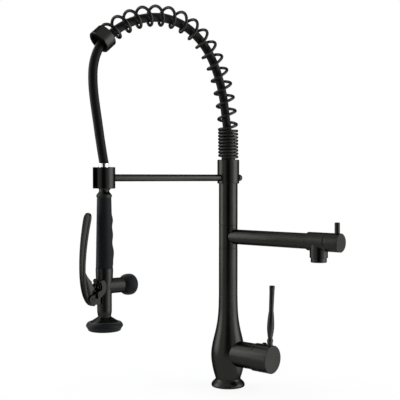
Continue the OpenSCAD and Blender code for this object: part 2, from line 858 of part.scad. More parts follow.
module spring_cap() {
    color(black) at_arch_end(cap_seat) difference() {
        soft_ring(spring_cap_len, spring_cap_r, cap_mouth_r, 0.8);
        translate([0, 0, -over]) cylinder(h = cap_step + over, r = cap_wall_r);
    }
}

module cap_bush() {
    color(white_plastic) at_arch_end(cap_seat) translate([0, 0, cap_step - 5.5])
        ring(5.5, cap_wall_r - snug, cap_mouth_r - 1.8);
}

holder_r = holder_d / 2;
liner_r = holder_slot / 2 + liner_t;
holder_z = arm_z - holder_h / 2;

collet_h = 2;

// A split ring on the end of the arm, with a short collet that tapers in round the sprayer's neck
module docking_holder() {
    color(black) difference() {
        union() {
            at_sprayer(holder_z) soft_ring(holder_h, holder_r, liner_r, 0.6);
            at_sprayer(holder_z - collet_h) difference() {
                cylinder(h = collet_h + 0.5 - snug, r1 = holder_slot / 2 + 0.5, r2 = holder_slot / 2 + 1.9);
                translate([0, 0, -over]) cylinder(h = collet_h + 2 * over, r = holder_slot / 2);
            }
            at_sprayer(holder_z) ring(0.5 - snug, liner_r + 0.5, holder_slot / 2);
        }
        at_sprayer(holder_z - collet_h - over) translate([-holder_slot / 2, -holder_r - over, 0])
            cube([holder_slot, holder_r + over, collet_h + holder_h + 2 * over]);
        translate([0, -sprayer_reach + holder_r + over, arm_z]) rotate([90, 0, 0])
            cylinder(h = holder_r - liner_r + 2 * over + 2, r = arm_r + snug);
    }
}

module holder_liner() {
    color(rubber_black) difference() {
        at_sprayer(holder_z + 0.5) ring(holder_h - 1, liner_r - snug, holder_slot / 2);
        at_sprayer(holder_z - over) translate([-holder_slot / 2, -holder_r - over, 0])
            cube([holder_slot, holder_r + over, holder_h + 2 * over]);
    }
}

// The spray hose: [reach, height] points of its centre line, from the column to the sprayer
hose_route = [
    [0, 321], [0, 330], [0, 345], [0, 360], [0.6, 373], [2.6, 387], [5.4, 404.5], [8.5, 425], [13.5, 445.5],
    [20.5, 465], [29.5, 483.5], [41, 500], [55.5, 514], [72.5, 525], [92, 532], [112, 535],
    [132.5, 533.5], [152.5, 528.5], [171.5, 520.5], [188.5, 509.8], [200, 499.6], [208.6, 491.4],
    [214.6, 482.2], [219.6, 469.5], [222.2, 456], [222.6, 441], [221.5, 424.5], [219, 406], [216, 387],
    [213.1, 368], [210.3, 351], [208, 338], [206.5, 330.3], [206.5, 327]
];
hose_sides = 10;

function hose_way(i) = unit(hose_route[min(i + 1, len(hose_route) - 1)] - hose_route[max(i - 1, 0)]);

module spray_hose() {
    last = len(hose_route) - 1;
    color(rubber_black) loft([for (i = [0 : last])
        let (
            p = hose_route[i],
            w = i == 0 || i == last ? [0, i == 0 ? 1 : -1] : hose_way(i),
            across_way = [0, w[1], w[0]]
        )
        [for (k = [0 : hose_sides - 1]) [0, -p[0], p[1]]
            + hose_r * (cos(360 * k / hose_sides) * across_way
                        - sin(360 * k / hose_sides) * [1, 0, 0])]
    ]);
}

// ---------- Sprayer ----------

neck_r = neck_d / 2;
bead_r = bead_d / 2;
grip_top = holder_z - grip_drop;
grip_z = grip_top - grip_h;
valve_z = grip_z - valve_h;
stem_z = valve_z + stem_rise;
ferrule_z = holder_z + holder_h - 0.8;
ferrule_h = 5.7;
ferrule_socket = 3.1;
tube_r = 7;
bead_h = grip_drop * 0.2;
neck_foot = grip_drop * 0.75;
tube_bore_r = 4.5;
socket_depth = 12;

module hose_ferrule() {
    color(steel) at_sprayer(ferrule_z) difference() {
        soft_ring(ferrule_h, neck_r - 0.05, 0, 0.3);
        translate([0, 0, ferrule_h - ferrule_socket]) cylinder(h = ferrule_h, r = hose_r + snug);
        translate([0, 0, -over]) cylinder(h = ferrule_h, r = tube_bore_r);
    }
}

module sprayer_neck() {
    color(black) at_sprayer(0) difference() {
        union() {
            translate([0, 0, grip_top]) cylinder(h = ferrule_z - grip_top, r = neck_r);
            translate([0, 0, grip_top]) rotate_extrude() polygon(concat([[0, 0]],
                [for (s = eased([[0, bead_r - 0.75], [bead_h, bead_r], [neck_foot, neck_r]], 8))
                    [s[1], s[0]]],
                [[0, neck_foot]]));
        }
        translate([0, 0, grip_top - over]) cylinder(h = ferrule_z, r = tube_bore_r);
    }
}

module grip_tube() {
    color(brass) at_sprayer(grip_z - socket_depth)
        ring(grip_h + socket_depth, tube_r, tube_bore_r);
}

grip_sides = 24;
grip_rings = 38;
// Finger ridges: shares of the grip's height, with shares of the largest ridge's rise
ridge_line = eased([[0, 0], [0.08, 0.35], [0.22, 1], [0.36, 0.1], [0.475, 0.65], [0.587, 0.15],
                    [0.68, 0.8], [0.79, 0], [1, 0]], 6);

// Radius of the grip: the side towards the column swells into finger ridges
function grip_r(u, angle) =
    let (
        base = grip_foot_d / 2 + (grip_top_d - grip_foot_d) / 2 * u,
        ridge = lookup(u, ridge_line)
    )
    base + ridge_rise * ridge * pow(max(0, sin(angle)), 2);

module grip_sleeve() {
    color(rubber_black) difference() {
        at_sprayer(grip_z) loft([for (j = [0 : grip_rings]) let (u = j / grip_rings)
            [for (k = [0 : grip_sides - 1]) let (a = -360 * k / grip_sides, r = grip_r(u, a))
                [r * cos(a), r * sin(a), u * grip_h]]]);
        at_sprayer(grip_z - over) cylinder(h = grip_h + 2 * over, r = tube_r + snug);
    }
}

valve_r = valve_d / 2;
waist_r = valve_r - 1.05;
valve_edge = [for (s = eased([[0, waist_r], [valve_h * 0.12, valve_r], [valve_h * 0.42, valve_r],
                              [valve_h * 0.94, valve_top_d / 2], [valve_h, valve_top_d / 2]], 4))
              [s[1], s[0]]];
side_tube_r = side_tube_d / 2;
valve_bore_r = 7.5;
valve_bore_start = 8;
// Water comes down to here, goes round the seat into the valve bore and out under the stem
inflow_z = stem_z + 7;
stem_r = stem_d / 2;

module valve_skin(extra) {
    at_sprayer(valve_z) rotate_extrude() polygon(concat([[0, 0]],
        [for (p = valve_edge) p + [extra, 0]], [[0, valve_h]]));
}

module valve_body() {
    color(black) difference() {
        union() {
            valve_skin(0);
            along_stem(0) cylinder(h = side_tube_len, r = side_tube_r);
        }
        at_sprayer(grip_z - socket_depth) cylinder(h = valve_h, r = tube_r + snug);
        at_sprayer(inflow_z) cylinder(h = valve_h, r = tube_bore_r);
        at_sprayer(inflow_z + 5) rotate([-117, 0, 0]) cylinder(h = 18, r = 1.4);
        at_sprayer(valve_z - over) cylinder(h = stem_rise + over, r = tube_bore_r);
        along_stem(0) cylinder(h = valve_bore_start + over, r = stem_r + 1.2);
        along_stem(valve_bore_start) cylinder(h = side_tube_len, r = valve_bore_r);
        along_stem(-valve_top_d) cylinder(h = 2 * valve_top_d, r = stem_r + running);
    }
}

seat_t = 1.6;
poppet_start = valve_bore_start + seat_t + free_gap;
poppet_t = 3;
bonnet_len = 8;
bonnet_start = side_tube_len - bonnet_len;
stem_travel = 1.7;
guide_depth = 5;
stem_end_y = bonnet_start + guide_depth - stem_travel - free_gap;

module valve_seat() {
    color(rubber_black) along_stem(valve_bore_start + snug)
        ring(seat_t, valve_bore_r - snug, stem_r + 0.5);
}

module valve_bonnet() {
    color(brass) along_stem(bonnet_start) difference() {
        cylinder(h = bonnet_len, r = valve_bore_r - snug);
        translate([0, 0, -over]) cylinder(h = guide_depth + over, r = stem_r + running);
    }
}

spring_turns = 6;
spring_wire_r = 0.6;
spring_coil_r = stem_r + 1.6;

// The return spring, wound round the stem between the poppet and the bonnet
module valve_spring() {
    start = poppet_start + poppet_t + spring_wire_r + snug;
    run = bonnet_start - spring_wire_r - snug - start;
    steps = spring_turns * 12;
    color(steel) along_stem(0) loft([for (i = [0 : steps])
        let (
            a = -360 * spring_turns * i / steps,
            out = [cos(a), sin(a), 0],
            centre = spring_coil_r * out + [0, 0, start + run * i / steps]
        )
        [for (k = [0 : 5]) centre
            + spring_wire_r * (cos(60 * k) * out + sin(60 * k) * [0, 0, 1])]
    ]);
}

// The rubber cap: shares of its length from the mouth to the closed end, with shares of its radius
side_cap_start = side_tube_len - 17.5;
side_cap_h = 21.5;
side_cap_line = [[0, 0.745], [0.05, 0.81], [0.16, 0.925], [0.3, 0.98], [0.45, 1], [0.6, 0.985], [0.72, 0.93],
                 [0.83, 0.83], [0.92, 0.66], [0.98, 0.42], [1, 0.25]];

module side_cap() {
    color(rubber_black) along_stem(side_cap_start) difference() {
        rotate_extrude() polygon(concat([[0, 0]],
            [for (p = side_cap_line) [side_cap_d / 2 * p[1], side_cap_h * p[0]]], [[0, side_cap_h]]));
        translate([0, 0, -over])
            cylinder(h = side_tube_len - side_cap_start + over + snug, r = side_tube_r + snug);
    }
}

// The gland's neck goes through the bracket, and its nut holds the bracket on the valve body
gland_r = 6.2;
gland_nut_r = 7.6;
gland_nut_t = 1.4;
saddle_t = 1.8;
gland_nut_y = valve_top_d / 2 + 0.4;

module stem_gland() {
    color(black) union() {
        difference() {
            along_stem(-gland_nut_y - gland_nut_t / 2)
                ring(gland_nut_y + gland_nut_t / 2 - tube_bore_r, gland_r, stem_r + running);
            valve_skin(snug);
        }
        along_stem(-gland_nut_y - gland_nut_t) ring(gland_nut_t, gland_nut_r, stem_r + running);
    }
}

cam_r = 4;
cam_drop = 2;
head_t = 1.4;
head_r = 4.5;
head_out = gland_nut_y + gland_nut_t + stem_travel + head_t;

module valve_stem() {
    color(black) union() {
        along_stem(-head_out) cylinder(h = head_t, r = head_r);
        along_stem(-head_out) cylinder(h = head_out + stem_end_y, r = stem_r);
        along_stem(poppet_start) cylinder(h = poppet_t, r = stem_r + 2.4);
    }
}

bumper_r = bumper_d / 2;
face_r = face_d / 2;
cone_h = 7;
bumper_top = valve_z - cone_h;
bumper_z = bumper_top - bumper_h;
face_z = bumper_z + 0.7;
face_t = 3;

module spray_cone() {
    color(black) at_sprayer(0) difference() {
        rotate_extrude() polygon([[0, face_z + face_t], [face_r + 4, face_z + face_t],
            [face_r + 4, bumper_top], [face_r + 3.2, bumper_top + 0.9], [waist_r + 0.6, valve_z - 0.6],
            [waist_r, valve_z], [0, valve_z]]);
        translate([0, 0, face_z]) cylinder(h = face_t + 3, r = face_r - 1.5);
        translate([0, 0, face_z]) cylinder(h = valve_z, r = tube_bore_r);
    }
}

module spray_bumper() {
    color(rubber_black) at_sprayer(bumper_z) difference() {
        rotate_extrude() polygon(concat([[0, 0]],
            [for (s = eased([[0, bumper_r - 3.4], [bumper_h * 0.08, bumper_r - 2.8],
                             [bumper_h * 0.2, bumper_r - 2.4], [bumper_h * 0.52, bumper_r],
                             [bumper_h * 0.64, bumper_r], [bumper_h * 0.93, bumper_r - 2],
                             [bumper_h, bumper_r - 3.8]], 4)) [s[1], s[0]]],
            [[0, bumper_h]]));
        translate([0, 0, -over]) cylinder(h = face_z + face_t - bumper_z + over, r = face_r + snug);
        translate([0, 0, face_z + face_t - bumper_z - snug])
            cylinder(h = bumper_h, r = face_r + 4 + snug);
    }
}

// The perforated plate, with three rings of jets round the middle screw
module spray_face() {
    color(black) at_sprayer(face_z) difference() {
        cylinder(h = face_t - snug, r = face_r);
        translate([0, 0, -over]) cylinder(h = face_t + 2 * over, r = screw_r + snug);
        for (ring_no = [1 : 3]) for (k = [0 : 6 * ring_no - 1])
            rotate([0, 0, 360 * k / (6 * ring_no)])
                translate([2 + ring_no * (face_r - 4.5) / 3, 0, -over])
                cylinder(h = face_t + 2 * over, d = jet_d, $fn = 16);
    }
}

module face_screw() {
    color(steel) at_sprayer(face_z - 1.2) union() {
        cylinder(h = 1.2, r = screw_r + 1.2);
        cylinder(h = 1.2 + face_t + 2, r = screw_r);
    }
}

// ---------- Trigger ----------

pivot_z = stem_z - pivot_drop;
cheek_in = strip_foot_w / 2 + 0.6;
cheek_t = 2.4;
lobe_r = 5.4;
bracket_w = 2 * (cheek_in + cheek_t);
bracket_foot = pivot_z - 7.2;

plate_end = -9.7;
ear_out = valve_r + saddle_t + 0.5;
// Edges of the ear beside the valve body, as [y, z] from the sprayer axis and the pivot
ear_front = [[-12, 2.4], [-5.2, 5.6], [-0.8, 14.6], [-4.7, 22.6]];
ear_back = [[-11.2, 22.6], [-9.8, 18.6], [-7.6, 13.2], [-11.4, 11.5]];
ear_edge = [for (i = [0 : 12]) bezier(ear_front, i / 12)];

// One cheek of the bracket: a round lobe at the pivot and a plate back to the valve body
module cheek_outline() {
    hull() {
        translate([-pivot_out, pivot_z]) circle(r = lobe_r);
        translate([-pivot_out + 4.6, bracket_foot + 3]) circle(r = 3);
        translate([-pivot_out + 8, pivot_z + 3]) circle(r = 3);
    }
    translate([-pivot_out + 5, bracket_foot])
        square([plate_end - 0.8 + pivot_out - 5, pivot_z + 5 - bracket_foot]);
}

// The ear that goes on from the cheek: it bends up beside the valve body to a round tip
module ear_outline() {
    translate([0, pivot_z]) polygon(concat(ear_edge,
        [for (a = [20 : 20 : 160]) [-7.9 + 3.1 * cos(a), 22.1 + 3.1 * sin(a)]],
        [for (i = [0 : 12]) bezier(ear_back, i / 12)],
        [[-16.4, 9.1], [-19.6, 5.2], [-19.6, 1], [-12, 1]]));
}

// The ears seen from above: they step out from the cheeks to stand flat beside the valve body
module ear_plan() {
    inner = cheek_in + 0.3;
    outer = bracket_w / 2 - 0.3;
    for (side = [-1, 1]) polygon([[side * inner, -30], [side * outer, -30], [side * outer, -16.4],
                                  [side * ear_out, -15.6], [side * ear_out, 0], [side * inner, 0]]);
}

// The saddle that hugs the valve body, up to above the stem, seen from the side
module saddle_outline() {
    polygon(concat([[-2 * valve_r, bracket_foot], [plate_end, bracket_foot], [plate_end, pivot_z + 3]],
        [for (i = [4 : 12]) ear_edge[i] + [-0.2, pivot_z]],
        [[-5.3, pivot_z + 24.2], [-2 * valve_r, pivot_z + 24.2]]));
}

module lever_bracket() {
    color(black) difference() {
        union() {
            for (side = [-1, 1]) translate([side * (cheek_in + cheek_t / 2), 0, 0])
                across(cheek_t) cheek_outline();
            across(bracket_w - 1) translate([-valve_r - 4, bracket_foot])
                square([plate_end + valve_r + 3.6, 10.4]);
            intersection() {
                valve_skin(saddle_t);
                across(3 * valve_r) saddle_outline();
            }
            intersection() {
                across(3 * valve_r) ear_outline();
                translate([0, -sprayer_reach, pivot_z]) linear_extrude(30) ear_plan();
            }
        }
        valve_skin(snug);
        translate([0, -sprayer_reach - pivot_out, pivot_z]) rotate([0, 90, 0])
            cylinder(h = bracket_w + 2 * over, d = pivot_pin_d + 2 * snug, center = true);
        along_stem(-pivot_out) cylinder(h = pivot_out, r = gland_r + 0.2);
        along_stem(-pivot_out) cylinder(h = pivot_out - gland_nut_y + play, r = gland_nut_r + 0.4);
    }
}

// The pin's ends step down to small heads, with a narrow groove round each
module pivot_pin() {
    color(black) translate([0, -sprayer_reach - pivot_out, pivot_z]) rotate([0, 90, 0]) union() {
        cylinder(h = bracket_w - 1.8, d = pivot_pin_d, center = true);
        cylinder(h = bracket_w + 0.8, d = pivot_pin_d - 1.5, center = true);
    }
}

// Centre line of the trigger strip, as [y, z] from the sprayer axis
strip_line = [
    [-pivot_out - strip_belly * 0.15, pivot_z + trigger_h + 0.5],
    [-pivot_out - strip_belly * 0.838, pivot_z + trigger_h * 0.573],
    [-pivot_out - strip_belly, pivot_z + trigger_h * 0.044], [-pivot_out + 0.1, pivot_z - 7.4]
];
strip_waist_w = strip_foot_w + 1.8;
strip_waist_z = pivot_z + trigger_h * 0.39;
strip_steps = 22;
function strip_way(t) = unit(bezier(strip_line, min(t + 0.01, 1)) - bezier(strip_line, max(t - 0.01, 0)));
function strip_edge(t, side) = bezier(strip_line, t)
    + side * strip_t / 2 * [-strip_way(t)[1], strip_way(t)[0]];
strip_outline = concat(
    [for (i = [0 : strip_steps]) strip_edge(i / strip_steps, 1)],
    [for (i = [strip_steps : -1 : 0]) strip_edge(i / strip_steps, -1)]
);
knuckle_r = 5.8;
cam = [-head_out - free_gap - cam_r, stem_z - cam_drop];
heel_r = 3.4;
// The hollow edge of the web, from the strip down to the nose, measured from the nose
web_steps = [[-9.6, 24.5], [-8.6, 22], [-6.8, 18.5], [-4.4, 15], [-1.8, 12], [-0.2, 10.6], [0, 8.6]];

// The web that stiffens the foot of the strip and presses on the valve stem with its round nose
module web_outline() {
    translate([-pivot_out, pivot_z]) circle(r = knuckle_r);
    translate([-pivot_out + 2.3, pivot_z - 6.1]) circle(r = heel_r);
    translate(cam) circle(r = cam_r);
    polygon(concat([for (w = web_steps) cam + w],
        [cam + [1.4, 5], cam + [cam_r - 1, 2.6], cam + [cam_r - 0.2, -1],
         [-pivot_out + knuckle_r - 1, pivot_z + 1], [-pivot_out - 3.5, pivot_z]],
        [for (i = [17, 15, 13, 11]) bezier(strip_line, i / strip_steps)]));
}

// The strip's width seen from outside: narrow up to its waist, then wider up to the round tip
module strip_front() {
    tip_z = pivot_z + trigger_h - strip_tip_w / 2;
    translate([0, tip_z]) circle(d = strip_tip_w);
    polygon([[-strip_foot_w / 2, pivot_z - 2 * lobe_r], [strip_foot_w / 2, pivot_z - 2 * lobe_r],
             [strip_waist_w / 2, strip_waist_z], [strip_tip_w / 2, tip_z],
             [-strip_tip_w / 2, tip_z], [-strip_waist_w / 2, strip_waist_z]]);
}

module trigger_lever() {
    color(black) difference() {
        union() {
            intersection() {
                across(strip_tip_w) polygon(strip_outline);
                translate([0, -sprayer_reach, 0]) rotate([90, 0, 0]) linear_extrude(3 * pivot_out)
                    strip_front();
            }
            across(strip_foot_w - 1) web_outline();
        }
        translate([0, -sprayer_reach - pivot_out, pivot_z]) rotate([0, 90, 0])
            cylinder(h = strip_tip_w, d = pivot_pin_d + 2 * running, center = true);
    }
}

// ---------- The whole faucet ----------

deck_gasket();
base_flange();
inlet_block();
faucet_body();
waterway_core();
lower_column();
swivel_spindle();
swivel_washers();
swivel_orings();
upper_column();
top_fitting();
hose_nut();
mixer_cartridge();
cartridge_nut();
cartridge_carrier();
tilt_pin();
cartridge_stem();
handle_cap();
handle_lever();
handle_screw();
screw_cover();
index_button();
spout_hub();
spout_tube();
spout_tee();
shutoff_gland();
shutoff_plug();
shutoff_knob();
knob_pin();
knob_screw();
aerator_housing();
aerator_insert();
aerator_washer();
riser_collar();
collar_screw();
arm_rod();
riser_spring();
spring_cap();
cap_bush();
docking_holder();
holder_liner();
spray_hose();
hose_ferrule();
sprayer_neck();
grip_tube();
grip_sleeve();
valve_body();
valve_seat();
valve_spring();
valve_bonnet();
side_cap();
stem_gland();
spray_cone();
spray_bumper();
spray_face();
face_screw();
lever_bracket();
pivot_pin();
trigger_lever();
valve_stem();
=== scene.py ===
# %% [markdown]
# # A spring-neck kitchen faucet, dressed in Blender
# The solids of this faucet come from a CAD model, which is loaded here as a fixed frame in metres.
# Blender adds what a CAD solid doesn't have: round wire and soft rubber in place of facets, and
# the finish of each surface. Nothing that CAD placed is moved, so every piece fits where it is.

# %% Load the frame
import json
import math

import bmesh
import bpy
import numpy as np
from mathutils import Matrix, Vector


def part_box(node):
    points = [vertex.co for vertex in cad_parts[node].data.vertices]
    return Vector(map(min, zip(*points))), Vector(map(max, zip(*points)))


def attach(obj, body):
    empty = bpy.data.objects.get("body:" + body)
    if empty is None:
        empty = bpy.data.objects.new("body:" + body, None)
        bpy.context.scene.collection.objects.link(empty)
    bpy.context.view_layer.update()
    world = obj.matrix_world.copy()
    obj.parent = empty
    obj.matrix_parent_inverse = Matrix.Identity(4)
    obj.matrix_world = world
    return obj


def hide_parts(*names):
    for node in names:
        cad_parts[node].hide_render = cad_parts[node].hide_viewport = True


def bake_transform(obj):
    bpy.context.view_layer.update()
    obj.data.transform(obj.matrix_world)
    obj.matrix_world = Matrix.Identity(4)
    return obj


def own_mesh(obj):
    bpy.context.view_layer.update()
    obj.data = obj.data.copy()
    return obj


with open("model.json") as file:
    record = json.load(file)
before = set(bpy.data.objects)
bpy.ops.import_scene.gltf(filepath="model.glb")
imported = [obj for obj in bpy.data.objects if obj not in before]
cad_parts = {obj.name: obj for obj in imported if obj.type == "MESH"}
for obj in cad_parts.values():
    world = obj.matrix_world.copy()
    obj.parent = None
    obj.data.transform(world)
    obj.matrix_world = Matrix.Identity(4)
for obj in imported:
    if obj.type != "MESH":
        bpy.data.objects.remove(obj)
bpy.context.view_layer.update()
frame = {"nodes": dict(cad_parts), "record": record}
nodes = frame["nodes"]

# %% [markdown]
# ## The camera
# A faucet is usually shown from the side of its spring, a little turned, with a long lens.
# A long lens keeps the column's sides parallel. The camera looks almost level, so the flange's
# top is barely seen. A tracking constraint could aim it, but one direction turned into angles
# needs no target and is easy to read.

# %% Place the camera
CAMERA_AZIMUTH = math.radians(56)
CAMERA_PITCH = math.radians(1.6)
CAMERA_PLACE = (0.9717, -0.7062, 0.3113)
LENS_LENGTH, SENSOR_WIDTH = 72.54, 36
camera_data = bpy.data.cameras.new("camera")
camera_data.lens = LENS_LENGTH
camera_data.sensor_width = SENSOR_WIDTH
camera = bpy.data.objects.new("camera", camera_data)
camera.location = CAMERA_PLACE
away = Vector((-math.sin(CAMERA_AZIMUTH) * math.cos(CAMERA_PITCH),
               math.cos(CAMERA_AZIMUTH) * math.cos(CAMERA_PITCH), -math.sin(CAMERA_PITCH)))
camera.rotation_euler = away.to_track_quat("-Z", "Y").to_euler()
bpy.context.collection.objects.link(camera)
bpy.context.scene.camera = camera
print("camera at", [round(v, 3) for v in camera.location])

# %% [markdown]
# ## A tube along a line
# The hose, the spring and the valve's return spring are all one thing: a round section carried
# along a line. A curve object could do it too, but here the tube is made as a mesh. At each point
# a small frame is turned just enough to follow the line, which keeps the tube from twisting. One
# many-sided face closes each end.

# %% Make meshes
MM = 0.001
SHARP_ANGLE = math.radians(38)


def link(mesh, material=None):
    """Shows a mesh as an object at the origin, smooth except at its sharp edges."""
    for polygon in mesh.polygons:
        polygon.use_smooth = True
    mesh.set_sharp_from_angle(angle=SHARP_ANGLE)
    thing = bpy.data.objects.new(mesh.name, mesh)
    bpy.context.collection.objects.link(thing)
    if material:
        mesh.materials.append(material)
    return thing


def mesh_from(name, vertices, faces):
    mesh = bpy.data.meshes.new(name)
    mesh.from_pydata([tuple(v) for v in vertices], [], faces)
    mesh.validate()
    mesh.update()
    return mesh


def skin(name, rings):
    """A mesh over equal rings of points: quads between the rings, and a face on each end."""
    count, last = len(rings[0]), len(rings) - 1
    faces = []
    for j in range(last):
        for i in range(count):
            k = (i + 1) % count
            faces.append((j * count + i, j * count + k, (j + 1) * count + k, (j + 1) * count + i))
    faces.append(tuple(range(count - 1, -1, -1)))
    faces.append(tuple(last * count + i for i in range(count)))
    return mesh_from(name, [point for ring in rings for point in ring], faces)


# %% Carry a circle along a line
def tube(name, line, radius, sides):
    """A round tube along a line of points."""
    line = [Vector(p) for p in line]
    along = (line[1] - line[0]).normalized()
    out = along.orthogonal().normalized()
    rings = []
    for i, point in enumerate(line):
        ahead = line[min(i + 1, len(line) - 1)] - line[max(i - 1, 0)]
        turn = along.rotation_difference(ahead.normalized())
        along = ahead.normalized()
        out = (turn @ out).normalized()
        third = along.cross(out)
        rings.append([point + radius * (math.cos(a) * out + math.sin(a) * third)
                      for a in (2 * math.pi * k / sides for k in range(sides))])
    return skin(name, rings)


# %% [markdown]
# ## Smooth lines
# A maker draws a route or an outline by a few good points and lets a smooth line run through
# them. A Bezier curve would need handles as well. Catmull and Rom's rule needs only the points,
# and works the same for a line in space and for a flat outline.

# %% Draw lines through points
def through(points, steps):
    """A smooth line through points, each a tuple of numbers, by Catmull and Rom's rule."""
    points = [np.array(p, float) for p in points]
    points = [2 * points[0] - points[1]] + points + [2 * points[-1] - points[-2]]
    line = []
    for i in range(1, len(points) - 2):
        a, b, c, d = points[i - 1:i + 3]
        for t in (k / steps for k in range(steps)):
            line.append(0.5 * (2 * b + (c - a) * t + (2 * a - 5 * b + 4 * c - d) * t ** 2
                               + (3 * b - a - 3 * c + d) * t ** 3))
    line.append(points[-2])
    return line


def length_of(line):
    """How long a line of points is."""
    return sum(float(np.linalg.norm(np.array(b) - np.array(a))) for a, b in zip(line, line[1:]))


# %% [markdown]
# ## The spray hose
# The hose stands in the nut at the top of the column, runs up inside the spring, leaves it
# through the cap and hangs to the sprayer. Its route is the same list of points as in the CAD
# source.

# %% Lay the hose
HOSE_DIAMETER = 12.6 * MM
HOSE_SIDES, ROUTE_STEPS = 24, 6
HOSE_ROUTE = [
    (0, 321), (0, 330), (0, 345), (0, 360), (0.6, 373), (2.6, 387), (5.4, 404.5), (8.5, 425),
    (13.5, 445.5), (20.5, 465), (29.5, 483.5), (41, 500), (55.5, 514), (72.5, 525), (92, 532),
    (112, 535), (132.5, 533.5), (152.5, 528.5), (171.5, 520.5), (188.5, 509.8), (200, 499.6),
    (208.6, 491.4), (214.6, 482.2), (219.6, 469.5), (222.2, 456), (222.6, 441), (221.5, 424.5),
    (219, 406), (216, 387), (213.1, 368), (210.3, 351), (208, 338), (206.5, 330.3),
    (206.5, 327),
]
hose_line = [(0, -reach * MM, z * MM) for reach, z in through(HOSE_ROUTE, ROUTE_STEPS)]
hose = link(tube("spray_hose_rubber", hose_line, HOSE_DIAMETER / 2, HOSE_SIDES))
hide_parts("spray_hose")
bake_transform(hose)

# %% [markdown]
# ## The spring
# The spring stands on the collar with a closely wound foot and then opens out along the arch.
# Its centre line is a straight foot and one cubic curve. A screw modifier could wind only the
# straight foot, so the wire is laid point by point. How far it has turned depends on how far
# along the line it is, so the turns stay evenly spaced.

# %% Draw the spring's centre line
FOOT_START, FOOT_END, FOOT_LEAN = 340.05, 383.7, 0.5
ARCH = [np.array(p, float) for p in ((FOOT_LEAN, FOOT_END), (13.1, 562.7), (136.3, 561.7),
                                     (204, 500.2))]
ARCH_SAMPLES = 801


def cubic(points, t):
    """The point at share t of the cubic curve with these four control points."""
    a, b, c, d = points
    return (1 - t) ** 3 * a + 3 * (1 - t) ** 2 * t * b + 3 * (1 - t) * t ** 2 * c + t ** 3 * d


arch_steps = np.linspace(0, 1, ARCH_SAMPLES)
arch_points = np.array([cubic(ARCH, t) for t in arch_steps])
arch_strides = np.linalg.norm(np.diff(arch_points, axis=0), axis=1)
arch_lengths = np.concatenate([[0], np.cumsum(arch_strides)])
ARCH_LENGTH = arch_lengths[-1]
FOOT_HEIGHT = FOOT_END - FOOT_START


def spring_centre(s):
    """The spring's middle at s millimetres along its line, as (reach, height)."""
    if s < FOOT_HEIGHT:
        return np.array([FOOT_LEAN * s / FOOT_HEIGHT, FOOT_START + s])
    return cubic(ARCH, np.interp(s - FOOT_HEIGHT, arch_lengths, arch_steps))


print("spring's line:", round(FOOT_HEIGHT, 2), "mm of foot and", round(ARCH_LENGTH, 1), "of arch")

# %% Wind the spring
COIL_RADIUS, WIRE_RADIUS, WIRE_SIDES = 13.05, 2.15, 14
FOOT_PITCH, OPEN_TURNS, RINGS_PER_TURN = 4.8, 15.8, 40
ARCH_PHASE = math.radians(225)
NEARBY, END_GAP = 0.5, 0.6
OPEN_PITCH = ARCH_LENGTH / OPEN_TURNS
LINE_LENGTH = FOOT_HEIGHT + ARCH_LENGTH


def wire_point(s):
    """Where the wire's middle is when the spring's line has run for s millimetres."""
    centre = spring_centre(s)
    way = spring_centre(min(s + NEARBY, LINE_LENGTH)) - spring_centre(max(s - NEARBY, 0))
    way /= np.linalg.norm(way)
    pitch = FOOT_PITCH if s < FOOT_HEIGHT else OPEN_PITCH
    turn = ARCH_PHASE + 2 * math.pi * (s - FOOT_HEIGHT) / pitch
    outward = np.array([0, way[1], way[0]])
    place = (np.array([0, -centre[0], centre[1]])
             + COIL_RADIUS * (math.cos(turn) * outward - math.sin(turn) * np.array([1, 0, 0])))
    return place * MM


foot_stations = np.arange(0, FOOT_HEIGHT, FOOT_PITCH / RINGS_PER_TURN)
open_stations = FOOT_HEIGHT + np.linspace(0, ARCH_LENGTH - END_GAP,
                                          round(OPEN_TURNS * RINGS_PER_TURN))
wire = [wire_point(s) for s in (*foot_stations, *open_stations)]
spring = link(tube("riser_spring_wire", wire, WIRE_RADIUS * MM, WIRE_SIDES))
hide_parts("riser_spring")
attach(spring, "riser")
print("spring:", len(wire), "rings,", round(length_of(wire), 3), "m of wire")

# %% [markdown]
# ## The valve's return spring
# A small steel spring stands round the stem inside the side tube, and pushes the trigger back.
# It rides on the sprayer.

# %% Wind the return spring
RETURN_TURNS, RETURN_RINGS, RETURN_SIDES = 6, 180, 8
RETURN_WIRE, STEM_TRAVEL = 0.6 * MM, 1.25 * MM
low, high = (Vector(corner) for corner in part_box("valve_spring"))
return_axis = Vector((0, 0, (low.z + high.z) / 2))
return_radius = (high.x - low.x) / 2 - RETURN_WIRE
return_run = high.y - low.y - 2 * RETURN_WIRE
return_line = []
for share in (i / RETURN_RINGS for i in range(RETURN_RINGS + 1)):
    turn = -2 * math.pi * RETURN_TURNS * share
    return_line.append(return_axis + Vector((return_radius * math.cos(turn),
                                             low.y + RETURN_WIRE + share * return_run,
                                             return_radius * math.sin(turn))))
return_spring = link(tube("return_spring_wire", return_line, RETURN_WIRE, RETURN_SIDES))
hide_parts("valve_spring")
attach(return_spring, "sprayer")
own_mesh(return_spring)
print("return spring:", round((high.y - low.y) / MM, 1), "mm long")

# %% [markdown]
# ## Turned and moulded pieces
# Rubber caps and bumpers come out of turned moulds, so half an outline spun round an axis gives
# them. A screw modifier could spin it too, but here the radius may also rise and fall round the
# axis, which the grip needs.

